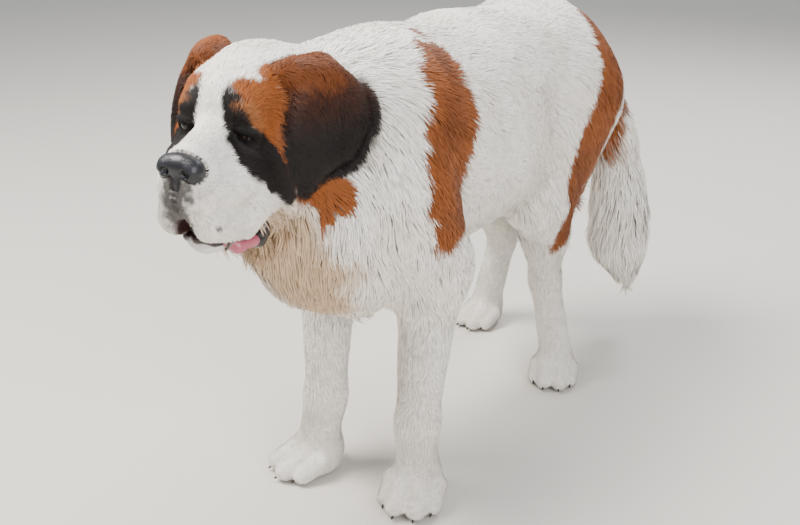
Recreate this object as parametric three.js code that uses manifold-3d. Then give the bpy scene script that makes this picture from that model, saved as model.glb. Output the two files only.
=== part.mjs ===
// A Saint Bernard standing on a level floor, life size, in millimetres. It faces -Y and its left side is +X.
// The body with its coat is one smooth field made of named masses, out to the tips of the hair. It is meshed
// region by region and parted with thin cuts. Ruff, feathers, breeches and tail brush are masses of their own.
import * as THREE from "three";
import Module from "manifold-3d";

const wasm = await Module();
wasm.setup();

// Driving sizes
const WITHERS_HEIGHT = 790;
const CHEST_HALF_WIDTH = 150;
const HEAD_LENGTH = 292;
const PAW_WIDTH = 112;
const EYE_RADIUS = 13;
const TAIL_BRUSH_RADIUS = 70;
const TRUNK_SHIFT = 10;
const FEATHER_DEPTH = 46;
const GAP = 0.3;

const vec = (x, y, z) => new THREE.Vector3(x, y, z);
const degrees = (angle) => (angle * Math.PI) / 180;

// The head has a frame of its own: left, forward and up from the middle of the skull.
const HEAD_CENTRE = vec(-26, -208, 707);
const HEAD_YAW = degrees(11);
const HEAD_PITCH = degrees(2);
const HEAD_ROLL = degrees(4.5);
const headTurn = new THREE.Quaternion().setFromEuler(new THREE.Euler(HEAD_PITCH, HEAD_ROLL, HEAD_YAW, "ZYX"));
const headScale = HEAD_LENGTH / 292;
function headAt(left, forward, up) {
  return vec(left, -forward, up).multiplyScalar(headScale).applyQuaternion(headTurn).add(HEAD_CENTRE);
}

// Joints and landmarks of the body
const trunk = (x, y, z) => vec(TRUNK_SHIFT + x, y, z);
const LEFT_FORE = {
  side: 1,
  shoulder: vec(100, -30, 560),
  elbow: vec(108, 58, 425),
  wrist: vec(107, 20, 150),
  paw: vec(108, 8, 0),
  toesOut: degrees(16),
};
const RIGHT_FORE = {
  side: -1,
  shoulder: vec(-82, -35, 560),
  elbow: vec(-92, 54, 425),
  wrist: vec(-80, 14, 150),
  paw: vec(-106, -10, 0),
  toesOut: degrees(34),
};
const LEFT_HIND = {
  side: 1,
  hip: vec(88, 600, 600),
  stifle: vec(90, 498, 412),
  hock: vec(86, 566, 212),
  paw: vec(132, 534, 0),
  toesOut: degrees(20),
};
const RIGHT_HIND = {
  side: -1,
  hip: vec(-66, 605, 600),
  stifle: vec(-80, 560, 405),
  hock: vec(-96, 728, 216),
  paw: vec(-132, 698, 0),
  toesOut: degrees(14),
};
const TAIL_LINE = [
  vec(22, 735, 688),
  vec(60, 782, 610),
  vec(108, 816, 490),
  vec(134, 832, 350),
  vec(142, 834, 235),
  vec(164, 848, 138),
];
const TAIL_FULLNESS = [0.72, 0.72, 0.76, 0.86, 1, 0.4];

// Masses: a bone is a tapered capsule and a blob is an ellipsoid, each with the width of its smooth blend.
const LEVEL = new THREE.Quaternion();
const ROUND = [1, 1, 1];
function bone(a, b, radiusA, radiusB, blend, squeeze = ROUND) {
  const line = b.clone().sub(a);
  const lengthSq = line.lengthSq();
  const scale = Math.min(...squeeze);
  const distance = (x, y, z) => {
    const px = x - a.x;
    const py = y - a.y;
    const pz = z - a.z;
    const t = Math.min(1, Math.max(0, (px * line.x + py * line.y + pz * line.z) / lengthSq));
    const dx = (px - line.x * t) / squeeze[0];
    const dy = (py - line.y * t) / squeeze[1];
    const dz = (pz - line.z * t) / squeeze[2];
    return (Math.sqrt(dx * dx + dy * dy + dz * dz) - radiusA - (radiusB - radiusA) * t) * scale;
  };
  return { distance, blend };
}
function blob(centre, radii, blend, turn = LEVEL) {
  const axes = [vec(1, 0, 0), vec(0, 1, 0), vec(0, 0, 1)].map((axis) => axis.applyQuaternion(turn));
  const least = Math.min(...radii);
  const distance = (x, y, z) => {
    const dx = x - centre.x;
    const dy = y - centre.y;
    const dz = z - centre.z;
    let near = 0;
    let steep = 0;
    for (let i = 0; i < 3; i++) {
      const along = (dx * axes[i].x + dy * axes[i].y + dz * axes[i].z) / radii[i];
      near += along * along;
      steep += (along / radii[i]) ** 2;
    }
    near = Math.sqrt(near);
    return steep > 0 ? (near * (near - 1)) / Math.sqrt(steep) : -least;
  };
  return { distance, blend };
}
const headBlob = (at, radii, blend) => blob(headAt(...at), radii.map((r) => r * headScale), blend, headTurn);
const headBone = (a, b, radiusA, radiusB, blend) =>
  bone(headAt(...a), headAt(...b), radiusA * headScale, radiusB * headScale, blend);
const bothSides = (make) => [make(1), make(-1)];

// Joins masses smoothly, in order; a mass with carve set is taken away instead.
function field(masses) {
  return (x, y, z) => {
    let d = 1e4;
    for (const { distance, blend, carve } of masses) {
      const own = carve ? -distance(x, y, z) : distance(x, y, z);
      const h = Math.max(blend - Math.abs(d - own), 0) / blend;
      const dip = (h * h * blend) / 4;
      d = carve ? Math.max(d, own) + dip : Math.min(d, own) - dip;
    }
    return d;
  };
}
const carved = (mass) => ({ ...mass, carve: true });

function trunkMasses() {
  const w = CHEST_HALF_WIDTH;
  return [
    blob(trunk(0, 175, 592), [w, 295, 192], 60),
    blob(trunk(0, -48, 528), [w * 0.8, 122, 150], 70),
    blob(trunk(0, 65, WITHERS_HEIGHT - 98), [w * 0.55, 155, 92], 60),
    blob(trunk(0, 60, 432), [w * 0.58, 165, 72], 50),
    bone(trunk(0, 290, 668), trunk(0, 560, 668), 108, 108, 70, [1.08, 1, 1]),
    blob(trunk(0, 365, 530), [w * 0.84, 205, 122], 70),
    blob(trunk(0, 598, 642), [w * 0.92, 160, 132], 70),
    ...bothSides((s) => bone(trunk(88 * s, -25, 600), trunk(96 * s, 45, 440), 66, 58, 50)),
    bone(trunk(0, -96, 500), trunk(0, -18, 392), 58, 34, 50),
    bone(trunk(0, 120, 398), trunk(0, 420, 440), 40, 34, 46),
  ];
}
function neckMasses() {
  return [
    bone(trunk(-2, 20, 665), headAt(0, -50, -8), 128, 92, 70),
    bone(trunk(-4, -70, 560), headAt(0, -10, -95), 104, 62, 60),
    bone(headAt(0, -22, -152), trunk(-34, -134, 458), 40, 44, 56),
  ];
}
function foreLegMasses(leg) {
  const behind = vec(2 * leg.side, FEATHER_DEPTH, 0);
  const featherTop = leg.elbow.clone().add(behind).add(vec(0, 0, -46));
  const featherTip = leg.elbow.clone().lerp(leg.wrist, 0.72).add(behind);
  return [
    bone(leg.shoulder, leg.elbow, 70, 60, 45),
    bone(leg.elbow, leg.wrist, 56, 34, 40),
    bone(leg.wrist, pawPoint(leg, 0, -22, 62), 36, 37, 26),
    bone(featherTop, featherTip, 26, 9, 30),
  ];
}
function hindLegMasses(leg) {
  const breechTop = leg.hip.clone().add(vec(0, 96, -60));
  const breechTip = leg.stifle.clone().add(vec(4 * leg.side, 128, -18));
  const calf = leg.stifle.clone().lerp(leg.hock, 0.45).add(vec(0, 16, 0));
  return [
    bone(leg.hip, leg.stifle, 112, 66, 60, [0.78, 1.12, 1]),
    bone(leg.hip.clone().add(vec(2 * leg.side, 60, -20)), leg.stifle.clone().add(vec(0, 70, -10)), 88, 46, 50),
    bone(breechTop, breechTip, 62, 22, 46),
    bone(leg.stifle, calf, 60, 45, 40),
    bone(calf, leg.hock, 45, 31, 36),
    bone(leg.hock, pawPoint(leg, 0, -24, 62), 31, 34, 24),
  ];
}
function tailMasses() {
  const radii = TAIL_FULLNESS.map((share) => share * TAIL_BRUSH_RADIUS);
  return TAIL_LINE.slice(1).map((point, i) => bone(TAIL_LINE[i], point, radii[i], radii[i + 1], 30));
}

// A paw: knuckles and four toes on a pad, round its own ground point, with the toes turned out.
function pawPoint(leg, across, forward, up) {
  const out = leg.toesOut * leg.side;
  const ahead = vec(Math.sin(out), -Math.cos(out), 0);
  const left = vec(Math.cos(out), Math.sin(out), 0);
  return leg.paw.clone().addScaledVector(left, across).addScaledVector(ahead, forward).setZ(up);
}
function pawMasses(leg, size) {
  const scale = (PAW_WIDTH / 112) * size;
  const at = (across, forward, up) => pawPoint(leg, across * scale, forward * scale, up * scale);
  const middle = [-17, 17].map((x) => bone(at(x, 6, 42), at(x * 1.1, 50, 20), 23 * scale, 19 * scale, 9));
  const outer = [-41, 41].map((x) => bone(at(x * 0.9, -10, 34), at(x, 26, 17), 21 * scale, 17 * scale, 9));
  return [
    blob(at(0, -24, 40), [44 * scale, 44 * scale, 42 * scale], 16),
    blob(at(0, -12, 16), [46 * scale, 44 * scale, 22 * scale], 12),
    ...middle,
    ...outer,
  ];
}

function skullMasses() {
  return [
    headBlob([0, -16, 12], [85, 104, 86], 40),
    headBlob([0, 42, 36], [64, 52, 46], 30),
    ...bothSides((s) => headBlob([60 * s, 8, -36], [38, 62, 60], 30)),
    ...bothSides((s) => headBlob([36 * s, 68, 30], [25, 25, 18], 16)),
    headBone([0, 55, -34], [0, 140, -46], 56, 47, 26),
    headBone([0, 66, 0], [0, 166, -14], 27, 20, 18),
    ...bothSides((s) => headBone([22 * s, 146, -78], [36 * s, 96, -108], 29, 28, 14)),
    ...bothSides((s) => headBone([15 * s, 164, -62], [24 * s, 148, -92], 19, 20, 10)),
    ...bothSides((s) => headBone([48 * s, 66, -30], [40 * s, 120, -50], 22, 22, 18)),
    ...bothSides((s) => headBone([46 * s, 88, -46], [46 * s, 80, -88], 26, 26, 20)),
    ...bothSides((s) => headBone([50 * s, 60, -78], [54 * s, 8, -92], 28, 34, 24)),
  ];
}
function jawMasses() {
  return [
    headBone([0, 120, -136], [0, 40, -128], 18, 30, 16),
    ...bothSides((s) => headBone([16 * s, 118, -132], [30 * s, 34, -116], 15, 22, 12)),
  ];
}
function tongueMasses() {
  return [
    headBone([8, 40, -104], [16, 96, -116], 17, 14, 10),
    headBone([16, 96, -116], [34, 104, -124], 12, 8, 8),
  ];
}
function nosePadMasses() {
  return [
    headBlob([0, 172, -12], [29, 15, 18], 8),
    ...bothSides((s) => headBlob([19 * s, 170, -16], [15, 15, 15], 8)),
    headBlob([0, 176, -32], [7, 9, 16], 6),
    ...bothSides((s) => carved(headBlob([14 * s, 190, -17], [7, 10, 6], 3))),
    ...bothSides((s) => carved(headBlob([29 * s, 178, -20], [9, 9, 3], 2))),
  ];
}

// An ear drops from a raised base beside the crown, bulges out over the cheek and ends in a round tip.
function earMasses(s) {
  const lean = new THREE.Quaternion().setFromEuler(new THREE.Euler(degrees(-10), degrees(-8 * s), degrees(-20 * s)));
  const turn = headTurn.clone().multiply(lean);
  return [
    headBone([62 * s, 14, 78], [78 * s, -52, 72], 18, 22, 20),
    blob(headAt(103 * s, -30, 10), [20, 78, 72], 24, turn),
    headBone([122 * s, -84, -2], [116 * s, -50, -30], 17, 19, 22),
    headBone([102 * s, -10, -36], [94 * s, 16, -68], 22, 15, 22),
    blob(headAt(91 * s, 20, 0), [14, 34, 60], 16, turn),
    carved(blob(headAt(80 * s, 44, -24), [7, 28, 40], 6, turn)),
  ];
}

const pawScale = { fore: 1, hind: 0.9 };
const bodyMasses = [
  ...trunkMasses(),
  ...neckMasses(),
  skullMasses()[0],
  ...foreLegMasses(LEFT_FORE),
  ...foreLegMasses(RIGHT_FORE),
  ...hindLegMasses(LEFT_HIND),
  ...hindLegMasses(RIGHT_HIND),
];
const eyeAt = (side) => headAt(44 * side, 78, 8);
const socketMasses = bothSides((s) => carved(headBlob([46 * s, 98, 9], [19, 14, 11], 12)));
const lidMasses = bothSides((s) => headBlob([44 * s, 77, 8], [18, 17, 17], 5));
const slitMasses = bothSides((s) => carved(headBlob([46 * s, 93, 7], [15, 12, 6], 4)));
const lipMasses = [carved(headBlob([0, 168, -112], [13, 30, 26], 8)), carved(headBlob([0, 188, -62], [1.5, 14, 24], 3))];
const bodyField = field(bodyMasses);
const faceMasses = [...socketMasses, ...lidMasses, ...slitMasses, ...lipMasses];
const headField = field([...skullMasses(), ...neckMasses(), ...faceMasses]);
const jawField = field(jawMasses());
const tongueField = field(tongueMasses());
const nosePadField = field(nosePadMasses());

// Surface net: one vertex in every cell that the surface crosses, then drawn on to the surface.
function surfaceNet(distance, low, high, cell) {
  const count = ["x", "y", "z"].map((axis) => Math.ceil((high[axis] - low[axis]) / cell) + 1);
  const [nx, ny, nz] = count;
  const index = (i, j, k) => (k * ny + j) * nx + i;
  const values = new Float32Array(nx * ny * nz).fill(cell);
  for (let k = 1; k < nz - 1; k++)
    for (let j = 1; j < ny - 1; j++)
      for (let i = 1; i < nx - 1; i++)
        values[index(i, j, k)] = distance(low.x + i * cell, low.y + j * cell, low.z + k * cell);
  const corners = [];
  for (let c = 0; c < 8; c++) corners.push([c & 1, (c >> 1) & 1, (c >> 2) & 1]);
  const points = [];
  const cellPoint = new Map();
  for (let k = 0; k < nz - 1; k++)
    for (let j = 0; j < ny - 1; j++)
      for (let i = 0; i < nx - 1; i++) {
        const v = corners.map(([a, b, c]) => values[index(i + a, j + b, k + c)]);
        const inside = v.filter((value) => value < 0).length;
        if (inside === 0 || inside === 8) continue;
        const sum = [0, 0, 0];
        let crossings = 0;
        for (let a = 0; a < 8; a++)
          for (const bit of [1, 2, 4]) {
            const b = a | bit;
            if (b === a || v[a] < 0 === v[b] < 0) continue;
            const t = v[a] / (v[a] - v[b]);
            for (let axis = 0; axis < 3; axis++)
              sum[axis] += corners[a][axis] + t * (corners[b][axis] - corners[a][axis]);
            crossings++;
          }
        cellPoint.set(index(i, j, k), points.length / 3);
        const place = [i, j, k].map((start, axis) => start + sum[axis] / crossings);
        points.push(low.x + place[0] * cell, low.y + place[1] * cell, low.z + place[2] * cell);
      }
  const faces = [];
  const quad = (a, b, c, d, flip) => {
    const [p, q, r, s] = (flip ? [a, d, c, b] : [a, b, c, d]).map((key) => cellPoint.get(key));
    faces.push(p, q, r, p, r, s);
  };
  for (let k = 0; k < nz - 1; k++)
    for (let j = 0; j < ny - 1; j++)
      for (let i = 0; i < nx - 1; i++) {
        const here = values[index(i, j, k)] < 0;
        const at = (a, b, c) => index(i + a, j + b, k + c);
        if (here !== values[at(1, 0, 0)] < 0) quad(at(0, -1, -1), at(0, 0, -1), at(0, 0, 0), at(0, -1, 0), !here);
        if (here !== values[at(0, 1, 0)] < 0) quad(at(-1, 0, -1), at(-1, 0, 0), at(0, 0, 0), at(0, 0, -1), !here);
        if (here !== values[at(0, 0, 1)] < 0) quad(at(-1, -1, 0), at(0, -1, 0), at(0, 0, 0), at(-1, 0, 0), !here);
      }
  return settle({ points, faces }, distance, cell);
}
function slope(distance, x, y, z, step) {
  return vec(
    distance(x + step, y, z) - distance(x - step, y, z),
    distance(x, y + step, z) - distance(x, y - step, z),
    distance(x, y, z + step) - distance(x, y, z - step),
  ).multiplyScalar(0.5 / step);
}
// Draws each point to the zero of the field, but leaves alone the flat ends where the grid stops.
function settle(net, distance, cell) {
  const { points } = net;
  for (let i = 0; i < points.length; i += 3)
    for (let pass = 0; pass < 3; pass++) {
      const value = distance(points[i], points[i + 1], points[i + 2]);
      const rise = slope(distance, points[i], points[i + 1], points[i + 2], cell / 8);
      const step = value / Math.max(rise.lengthSq(), 0.25);
      if (Math.abs(value) > cell * 0.5) continue;
      points[i] -= rise.x * step;
      points[i + 1] -= rise.y * step;
      points[i + 2] -= rise.z * step;
    }
  return net;
}

// Edge collapse by quadric error, which keeps the mesh one closed surface.
function simplify({ points, faces }, goal) {
  const n = points.length / 3;
  const quadrics = Array.from({ length: n }, () => new Float64Array(10));
  const around = Array.from({ length: n }, () => new Set());
  const triangle = [];
  const point = (v) => vec(points[3 * v], points[3 * v + 1], points[3 * v + 2]);
  const faceNormal = (a, b, c) => b.clone().sub(a).cross(c.clone().sub(a));
  for (let f = 0; f < faces.length; f += 3) {
    const face = [faces[f], faces[f + 1], faces[f + 2]];
    const [a, b, c] = face.map(point);
    const normal = faceNormal(a, b, c);
    const area = normal.length();
    normal.normalize();
    const plane = [normal.x, normal.y, normal.z, -normal.dot(a)];
    const weight = area + 1e-3;
    for (const v of face) {
      let slotIndex = 0;
      for (let i = 0; i < 4; i++)
        for (let j = i; j < 4; j++) quadrics[v][slotIndex++] += weight * plane[i] * plane[j];
      around[v].add(triangle.length);
    }
    triangle.push(face);
  }
  const errorAt = (q, p) =>
    q[0] * p.x * p.x + 2 * q[1] * p.x * p.y + 2 * q[2] * p.x * p.z + 2 * q[3] * p.x +
    q[4] * p.y * p.y + 2 * q[5] * p.y * p.z + 2 * q[6] * p.y +
    q[7] * p.z * p.z + 2 * q[8] * p.z + q[9];
  const solve = (q, middle) => {
    const m = new THREE.Matrix3().set(q[0], q[1], q[2], q[1], q[4], q[5], q[2], q[5], q[7]);
    const size = q[0] + q[4] + q[7];
    if (Math.abs(m.determinant()) < 1e-4 * size ** 3) return middle;
    return vec(-q[3], -q[6], -q[8]).applyMatrix3(m.invert());
  };
  const version = new Uint32Array(n);
  const heap = [];
  const lift = (i) => {
    while (i > 0) {
      const parent = (i - 1) >> 1;
      if (heap[parent].cost <= heap[i].cost) break;
      [heap[parent], heap[i]] = [heap[i], heap[parent]];
      i = parent;
    }
  };
  const sink = () => {
    let i = 0;
    while (2 * i + 1 < heap.length) {
      let child = 2 * i + 1;
      if (child + 1 < heap.length && heap[child + 1].cost < heap[child].cost) child++;
      if (heap[i].cost <= heap[child].cost) break;
      [heap[child], heap[i]] = [heap[i], heap[child]];
      i = child;
    }
  };
  const propose = (a, b) => {
    const q = quadrics[a].map((value, i) => value + quadrics[b][i]);
    const middle = point(a).add(point(b)).multiplyScalar(0.5);
    const reach = point(a).distanceTo(point(b));
    let target = solve(q, middle);
    if (target.distanceTo(middle) > reach) target = middle;
    const cost = Math.max(errorAt(q, target), 0) + 1e-4 * reach * reach;
    heap.push({ cost, a, b, va: version[a], vb: version[b], target, q });
    lift(heap.length - 1);
  };
  const neighbours = (v) => {
    const found = new Set();
    for (const t of around[v]) for (const other of triangle[t]) if (other !== v) found.add(other);
    return found;
  };
  for (let v = 0; v < n; v++) for (const other of neighbours(v)) if (other > v) propose(v, other);
  let left = triangle.length;
  while (left > goal && heap.length) {
    const best = heap[0];
    const last = heap.pop();
    if (heap.length) {
      heap[0] = last;
      sink();
    }
    const { a, b, target, q } = best;
    if (version[a] !== best.va || version[b] !== best.vb) continue;
    const nearA = neighbours(a);
    const nearB = neighbours(b);
    const shared = [...nearA].filter((v) => nearB.has(v));
    if (shared.length !== 2) continue;
    const kept = (v, gone) => [...around[v]].filter((t) => !triangle[t].includes(gone));
    const turns = (v, gone) =>
      kept(v, gone).some((t) => {
        const before = triangle[t].map(point);
        const after = triangle[t].map((w, i) => (w === v ? target : before[i]));
        const old = faceNormal(...before);
        const fresh = faceNormal(...after);
        return old.dot(fresh) < 0.3 * old.length() * fresh.length() || fresh.length() < 1e-3 * old.length();
      });
    if (turns(a, b) || turns(b, a)) continue;
    for (const t of [...around[b]]) {
      if (triangle[t].includes(a)) {
        for (const v of triangle[t]) around[v].delete(t);
        triangle[t] = null;
        left--;
      } else {
        triangle[t] = triangle[t].map((v) => (v === b ? a : v));
        around[a].add(t);
      }
    }
    around[b].clear();
    points[3 * a] = target.x;
    points[3 * a + 1] = target.y;
    points[3 * a + 2] = target.z;
    quadrics[a] = q;
    version[a]++;
    version[b]++;
    for (const other of neighbours(a)) propose(a, other);
  }
  const order = new Map();
  const packed = { points: [], faces: [] };
  for (const face of triangle.filter(Boolean))
    for (const v of face) {
      if (!order.has(v)) {
        order.set(v, order.size);
        packed.points.push(points[3 * v], points[3 * v + 1], points[3 * v + 2]);
      }
      packed.faces.push(order.get(v));
    }
  return packed;
}

function solid({ points, faces }) {
  const mesh = new wasm.Mesh({
    numProp: 3,
    vertProperties: new Float32Array(points),
    triVerts: new Uint32Array(faces),
  });
  return new wasm.Manifold(mesh);
}
function solidOfGeometry(geometry) {
  const merged = new Map();
  const at = geometry.attributes.position;
  const points = [];
  const key = (i) => [at.getX(i), at.getY(i), at.getZ(i)].map((v) => Math.round(v * 1e3)).join();
  const number = (i) => {
    if (!merged.has(key(i))) {
      merged.set(key(i), points.length / 3);
      points.push(at.getX(i), at.getY(i), at.getZ(i));
    }
    return merged.get(key(i));
  };
  const source = geometry.index ? [...geometry.index.array] : [...Array(at.count).keys()];
  const faces = [];
  for (let f = 0; f < source.length; f += 3) {
    const face = source.slice(f, f + 3).map(number);
    if (new Set(face).size === 3) faces.push(...face);
  }
  return solid({ points, faces });
}
const shaped = (distance, low, high, cell, goal) => simplify(surfaceNet(distance, low, high, cell), goal);

// Cutting regions are big boxes trimmed by planes. Each plane has a point and a normal that points out.
const BIG = 4000;
function region(planes, grow) {
  let box = solidOfGeometry(new THREE.BoxGeometry(BIG, BIG, BIG));
  for (const { at, out } of planes) {
    const normal = out.clone().normalize();
    box = box.trimByPlane(normal.clone().negate().toArray(), -(normal.dot(at) + grow));
  }
  return box;
}
const side = (at, out) => ({ at, out });
const HALF_GAP = GAP / 2 + 0.02;
const within = (body, planes) => body.intersect(region(planes, -HALF_GAP));
const without = (body, planes) => body.subtract(region(planes, HALF_GAP));
const largest = (body) => body.decompose().sort((a, b) => b.volume() - a.volume())[0];

// Where the parts meet
const headEnd = [side(headAt(0, -62, -20), headAt(0, -1, -0.42).sub(headAt(0, 0, 0)))];
const neckEnd = [side(trunk(0, -40, 680), vec(0, 0.75, -0.66))];
const armpit = (s) => trunk(50 * s, 40, 372);
const legTop = {
  foreleg: (s) => [
    side(armpit(s), vec(-0.6 * s, 0, 0.8)),
    side(trunk(12 * s, 0, 0), vec(-s, 0, 0)),
    side(vec(0, 220, 0), vec(0, 1, 0)),
  ],
  thigh: (s) => [
    side(trunk(30 * s, 560, 440), vec(-0.86 * s, 0, 0.5)),
    side(trunk(4 * s, 0, 0), vec(-s, 0, 0)),
    side(vec(0, 438, 430), vec(0, -0.95, 0.3)),
  ],
};
const level = (z, up) => side(vec(0, 0, z), vec(0, 0, up));
const WRIST_CUT = 104;
const HOCK_CUT = 96;
const STIFLE_CUT = 318;

// Parts of the flesh
const trunkBody = solid(shaped(bodyField, vec(-220, -420, 150), vec(230, 840, 830), 20, 1900));
function neckPart() {
  return largest(without(within(trunkBody, neckEnd), headEnd));
}
function trunkPart() {
  let body = without(trunkBody, neckEnd);
  for (const s of [1, -1]) {
    body = without(body, legTop.foreleg(s));
    body = without(body, legTop.thigh(s));
  }
  return largest(body.trimByPlane([0, 0, 1], 250));
}
function legBody(leg, low, high, goal) {
  return solid(shaped(bodyField, low, high, 12, goal));
}

function bodyParts() {
  const parts = {};
  parts.neck = neckPart();
  parts.torso = trunkPart();
  for (const [name, leg] of [["left", LEFT_FORE], ["right", RIGHT_FORE]]) {
    const middle = TRUNK_SHIFT + 100 * leg.side;
    const body = legBody(leg, vec(middle - 100, -160, 60), vec(middle + 100, 200, 560), 620);
    parts[`foreleg_${name}`] = largest(within(body, [...legTop.foreleg(leg.side), level(WRIST_CUT, -1)]));
    parts[`forepaw_${name}`] = paw(leg, pawScale.fore, WRIST_CUT);
  }
  for (const [name, leg] of [["left", LEFT_HIND], ["right", RIGHT_HIND]]) {
    const middle = TRUNK_SHIFT + 100 * leg.side;
    const body = legBody(leg, vec(middle - 115, 380, 60), vec(middle + 115, 830, 760), 1000);
    const top = legTop.thigh(leg.side);
    parts[`thigh_${name}`] = largest(within(body, [...top, level(STIFLE_CUT, -1)]));
    parts[`shank_${name}`] = largest(within(body, [...top, level(STIFLE_CUT, 1), level(HOCK_CUT, -1)]));
    parts[`hindpaw_${name}`] = paw(leg, pawScale.hind, HOCK_CUT);
  }
  parts.tail = tail();
  return parts;
}

function paw(leg, size, top) {
  const joint = leg.wrist ?? leg.hock;
  const stem = bone(joint, pawPoint(leg, 0, -22, 62), leg.wrist ? 36 : 31, leg.wrist ? 37 : 34, 26);
  const distance = field([stem, ...pawMasses(leg, size)]);
  const reach = 95;
  const low = vec(leg.paw.x - reach, leg.paw.y - reach, -20);
  const high = vec(leg.paw.x + reach, leg.paw.y + reach, top + 30);
  const body = solid(shaped(distance, low, high, 6, 440));
  const claws = CLAW_SPREAD.map((across) => claw(leg, across * size, (Math.abs(across) > 30 ? 38 : 62) * size));
  return largest(wasm.Manifold.union([within(body, [FLOOR_UP, level(top, 1)]), ...claws]));
}
// A claw is a short blunt cone that points forward and down from a toe.
const CLAW_SPREAD = [-42, -18, 18, 42];
const CLAW_LENGTH = 22;
const CLAW_RADIUS = 4.5;
function claw(leg, across, forward) {
  const out = leg.toesOut * leg.side;
  const shape = new THREE.CylinderGeometry(1.2, CLAW_RADIUS, CLAW_LENGTH, 6);
  shape.rotateX(degrees(118)).rotateZ(out).translate(...pawPoint(leg, across, forward, 13).toArray());
  return solidOfGeometry(shape);
}
const FLOOR_UP = side(vec(0, 0, HALF_GAP), vec(0, 0, -1));

function tail() {
  const distance = field(tailMasses());
  const body = solid(shaped(distance, vec(-60, 640, 80), vec(260, 950, 770), 12, 320));
  return clearOf(body, trunkBody);
}

// A body grown by the gap, to cut its neighbour clear.
function swollen(body, grow = GAP * 2) {
  const mesh = body.getMesh();
  const points = Array.from(mesh.vertProperties);
  const faces = Array.from(mesh.triVerts);
  const normals = new Float32Array(points.length);
  for (let f = 0; f < faces.length; f += 3) {
    const [a, b, c] = [0, 1, 2].map((i) => new THREE.Vector3().fromArray(points, 3 * faces[f + i]));
    const normal = b.clone().sub(a).cross(c.clone().sub(a)).normalize();
    for (let i = 0; i < 3; i++) {
      const v = 3 * faces[f + i];
      normals[v] += normal.x;
      normals[v + 1] += normal.y;
      normals[v + 2] += normal.z;
    }
  }
  for (let v = 0; v < points.length; v += 3) {
    const length = Math.hypot(normals[v], normals[v + 1], normals[v + 2]) || 1;
    for (let i = 0; i < 3; i++) points[v + i] += (normals[v + i] / length) * grow;
  }
  return solid({ points, faces });
}

const clearOf = (body, other) => largest(body.subtract(swollen(other)).subtract(other));

// Head parts
const MOUTH_CLEARANCE = 5;
function headBox(centre, reach) {
  const [low, high] = [-1, 1].map((sign) => headAt(...centre).add(vec(reach, reach, reach).multiplyScalar(sign)));
  return [low, high];
}
function eyeSolid(side, radius) {
  const ball = new THREE.SphereGeometry(radius, 16, 10).translate(...eyeAt(side).toArray());
  return solidOfGeometry(ball);
}
function headParts() {
  const parts = {};
  const skull = (x, y, z) =>
    Math.max(headField(x, y, z), MOUTH_CLEARANCE - Math.min(jawField(x, y, z), tongueField(x, y, z)));
  let body = solid(shaped(skull, ...headBox([0, 30, -20], 230), 6, 2200));
  const nosePad = solid(shaped(nosePadField, ...headBox([0, 172, -14], 52), 2.5, 300));
  body = clearOf(within(body, headEnd), nosePad);
  for (const [name, s] of [["left", 1], ["right", -1]]) {
    parts[`eye_${name}`] = eyeSolid(s, EYE_RADIUS);
    body = body.subtract(eyeSolid(s, EYE_RADIUS + GAP));
  }
  parts.head = largest(body);
  parts.nose_pad = nosePad;
  const tongue = solid(shaped(tongueField, ...headBox([15, 75, -115], 75), 4, 140));
  const jaw = solid(shaped(jawField, ...headBox([0, 80, -120], 115), 6, 400));
  parts.lower_jaw = clearOf(clearOf(jaw, tongue), parts.head);
  parts.tongue = clearOf(tongue, parts.head);
  for (const [name, s] of [["left", 1], ["right", -1]]) {
    const ear = solid(shaped(field(earMasses(s)), ...headBox([100 * s, -20, 0], 130), 5, 340));
    parts[`ear_${name}`] = clearOf(ear, parts.head);
  }
  return parts;
}

const FINISHES = {
  whiteCoat: { color: 0xe9e4dc, roughness: 0.9 },
  darkCoat: { color: 0x2a1b16, roughness: 0.85 },
  noseLeather: { color: 0x17171a, roughness: 0.35 },
  tongueSkin: { color: 0xc06a80, roughness: 0.35 },
  wetEye: { color: 0x2a1710, roughness: 0.08 },
};
const finishOf = (name) => {
  if (name.startsWith("eye")) return FINISHES.wetEye;
  if (name.startsWith("ear")) return FINISHES.darkCoat;
  if (name === "nose_pad") return FINISHES.noseLeather;
  if (name === "tongue") return FINISHES.tongueSkin;
  return FINISHES.whiteCoat;
};

// Where two parts would still cross, the later one in the list is cut clear of the earlier one.
function clearOfEachOther(parts) {
  const names = Object.keys(parts);
  names.forEach((name, i) => {
    for (const earlier of names.slice(0, i)) {
      const shared = parts[earlier].intersect(parts[name]).volume();
      if (shared > 0) parts[name] = clearOf(parts[name], parts[earlier]);
    }
  });
  return parts;
}

// Corners that only touch are drawn apart along their own normals, so each surface stays single.
const TOUCH = 0.004;
function separated(body) {
  const mesh = body.simplify(TOUCH).getMesh();
  const points = Array.from(mesh.vertProperties);
  const faces = Array.from(mesh.triVerts);
  const seen = new Map();
  const doubled = new Set();
  for (let v = 0; v < points.length / 3; v++) {
    const key = points.slice(3 * v, 3 * v + 3).map((value) => Math.round(value / TOUCH)).join();
    if (seen.has(key)) doubled.add(v).add(seen.get(key));
    seen.set(key, v);
  }
  for (let f = 0; f < faces.length; f += 3)
    for (const v of faces.slice(f, f + 3).filter((corner) => doubled.has(corner))) {
      const [a, b, c] = [0, 1, 2].map((i) => new THREE.Vector3().fromArray(points, 3 * faces[f + i]));
      const normal = b.sub(a).cross(c.sub(a)).normalize();
      points[3 * v] -= normal.x * 4 * TOUCH;
      points[3 * v + 1] -= normal.y * 4 * TOUCH;
      points[3 * v + 2] -= normal.z * 4 * TOUCH;
    }
  return { body: solid({ points, faces }), doubled: doubled.size };
}
function single(body) {
  let result = separated(body);
  for (let pass = 0; pass < 4 && result.doubled; pass++) result = separated(result.body);
  return result.body;
}

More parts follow.
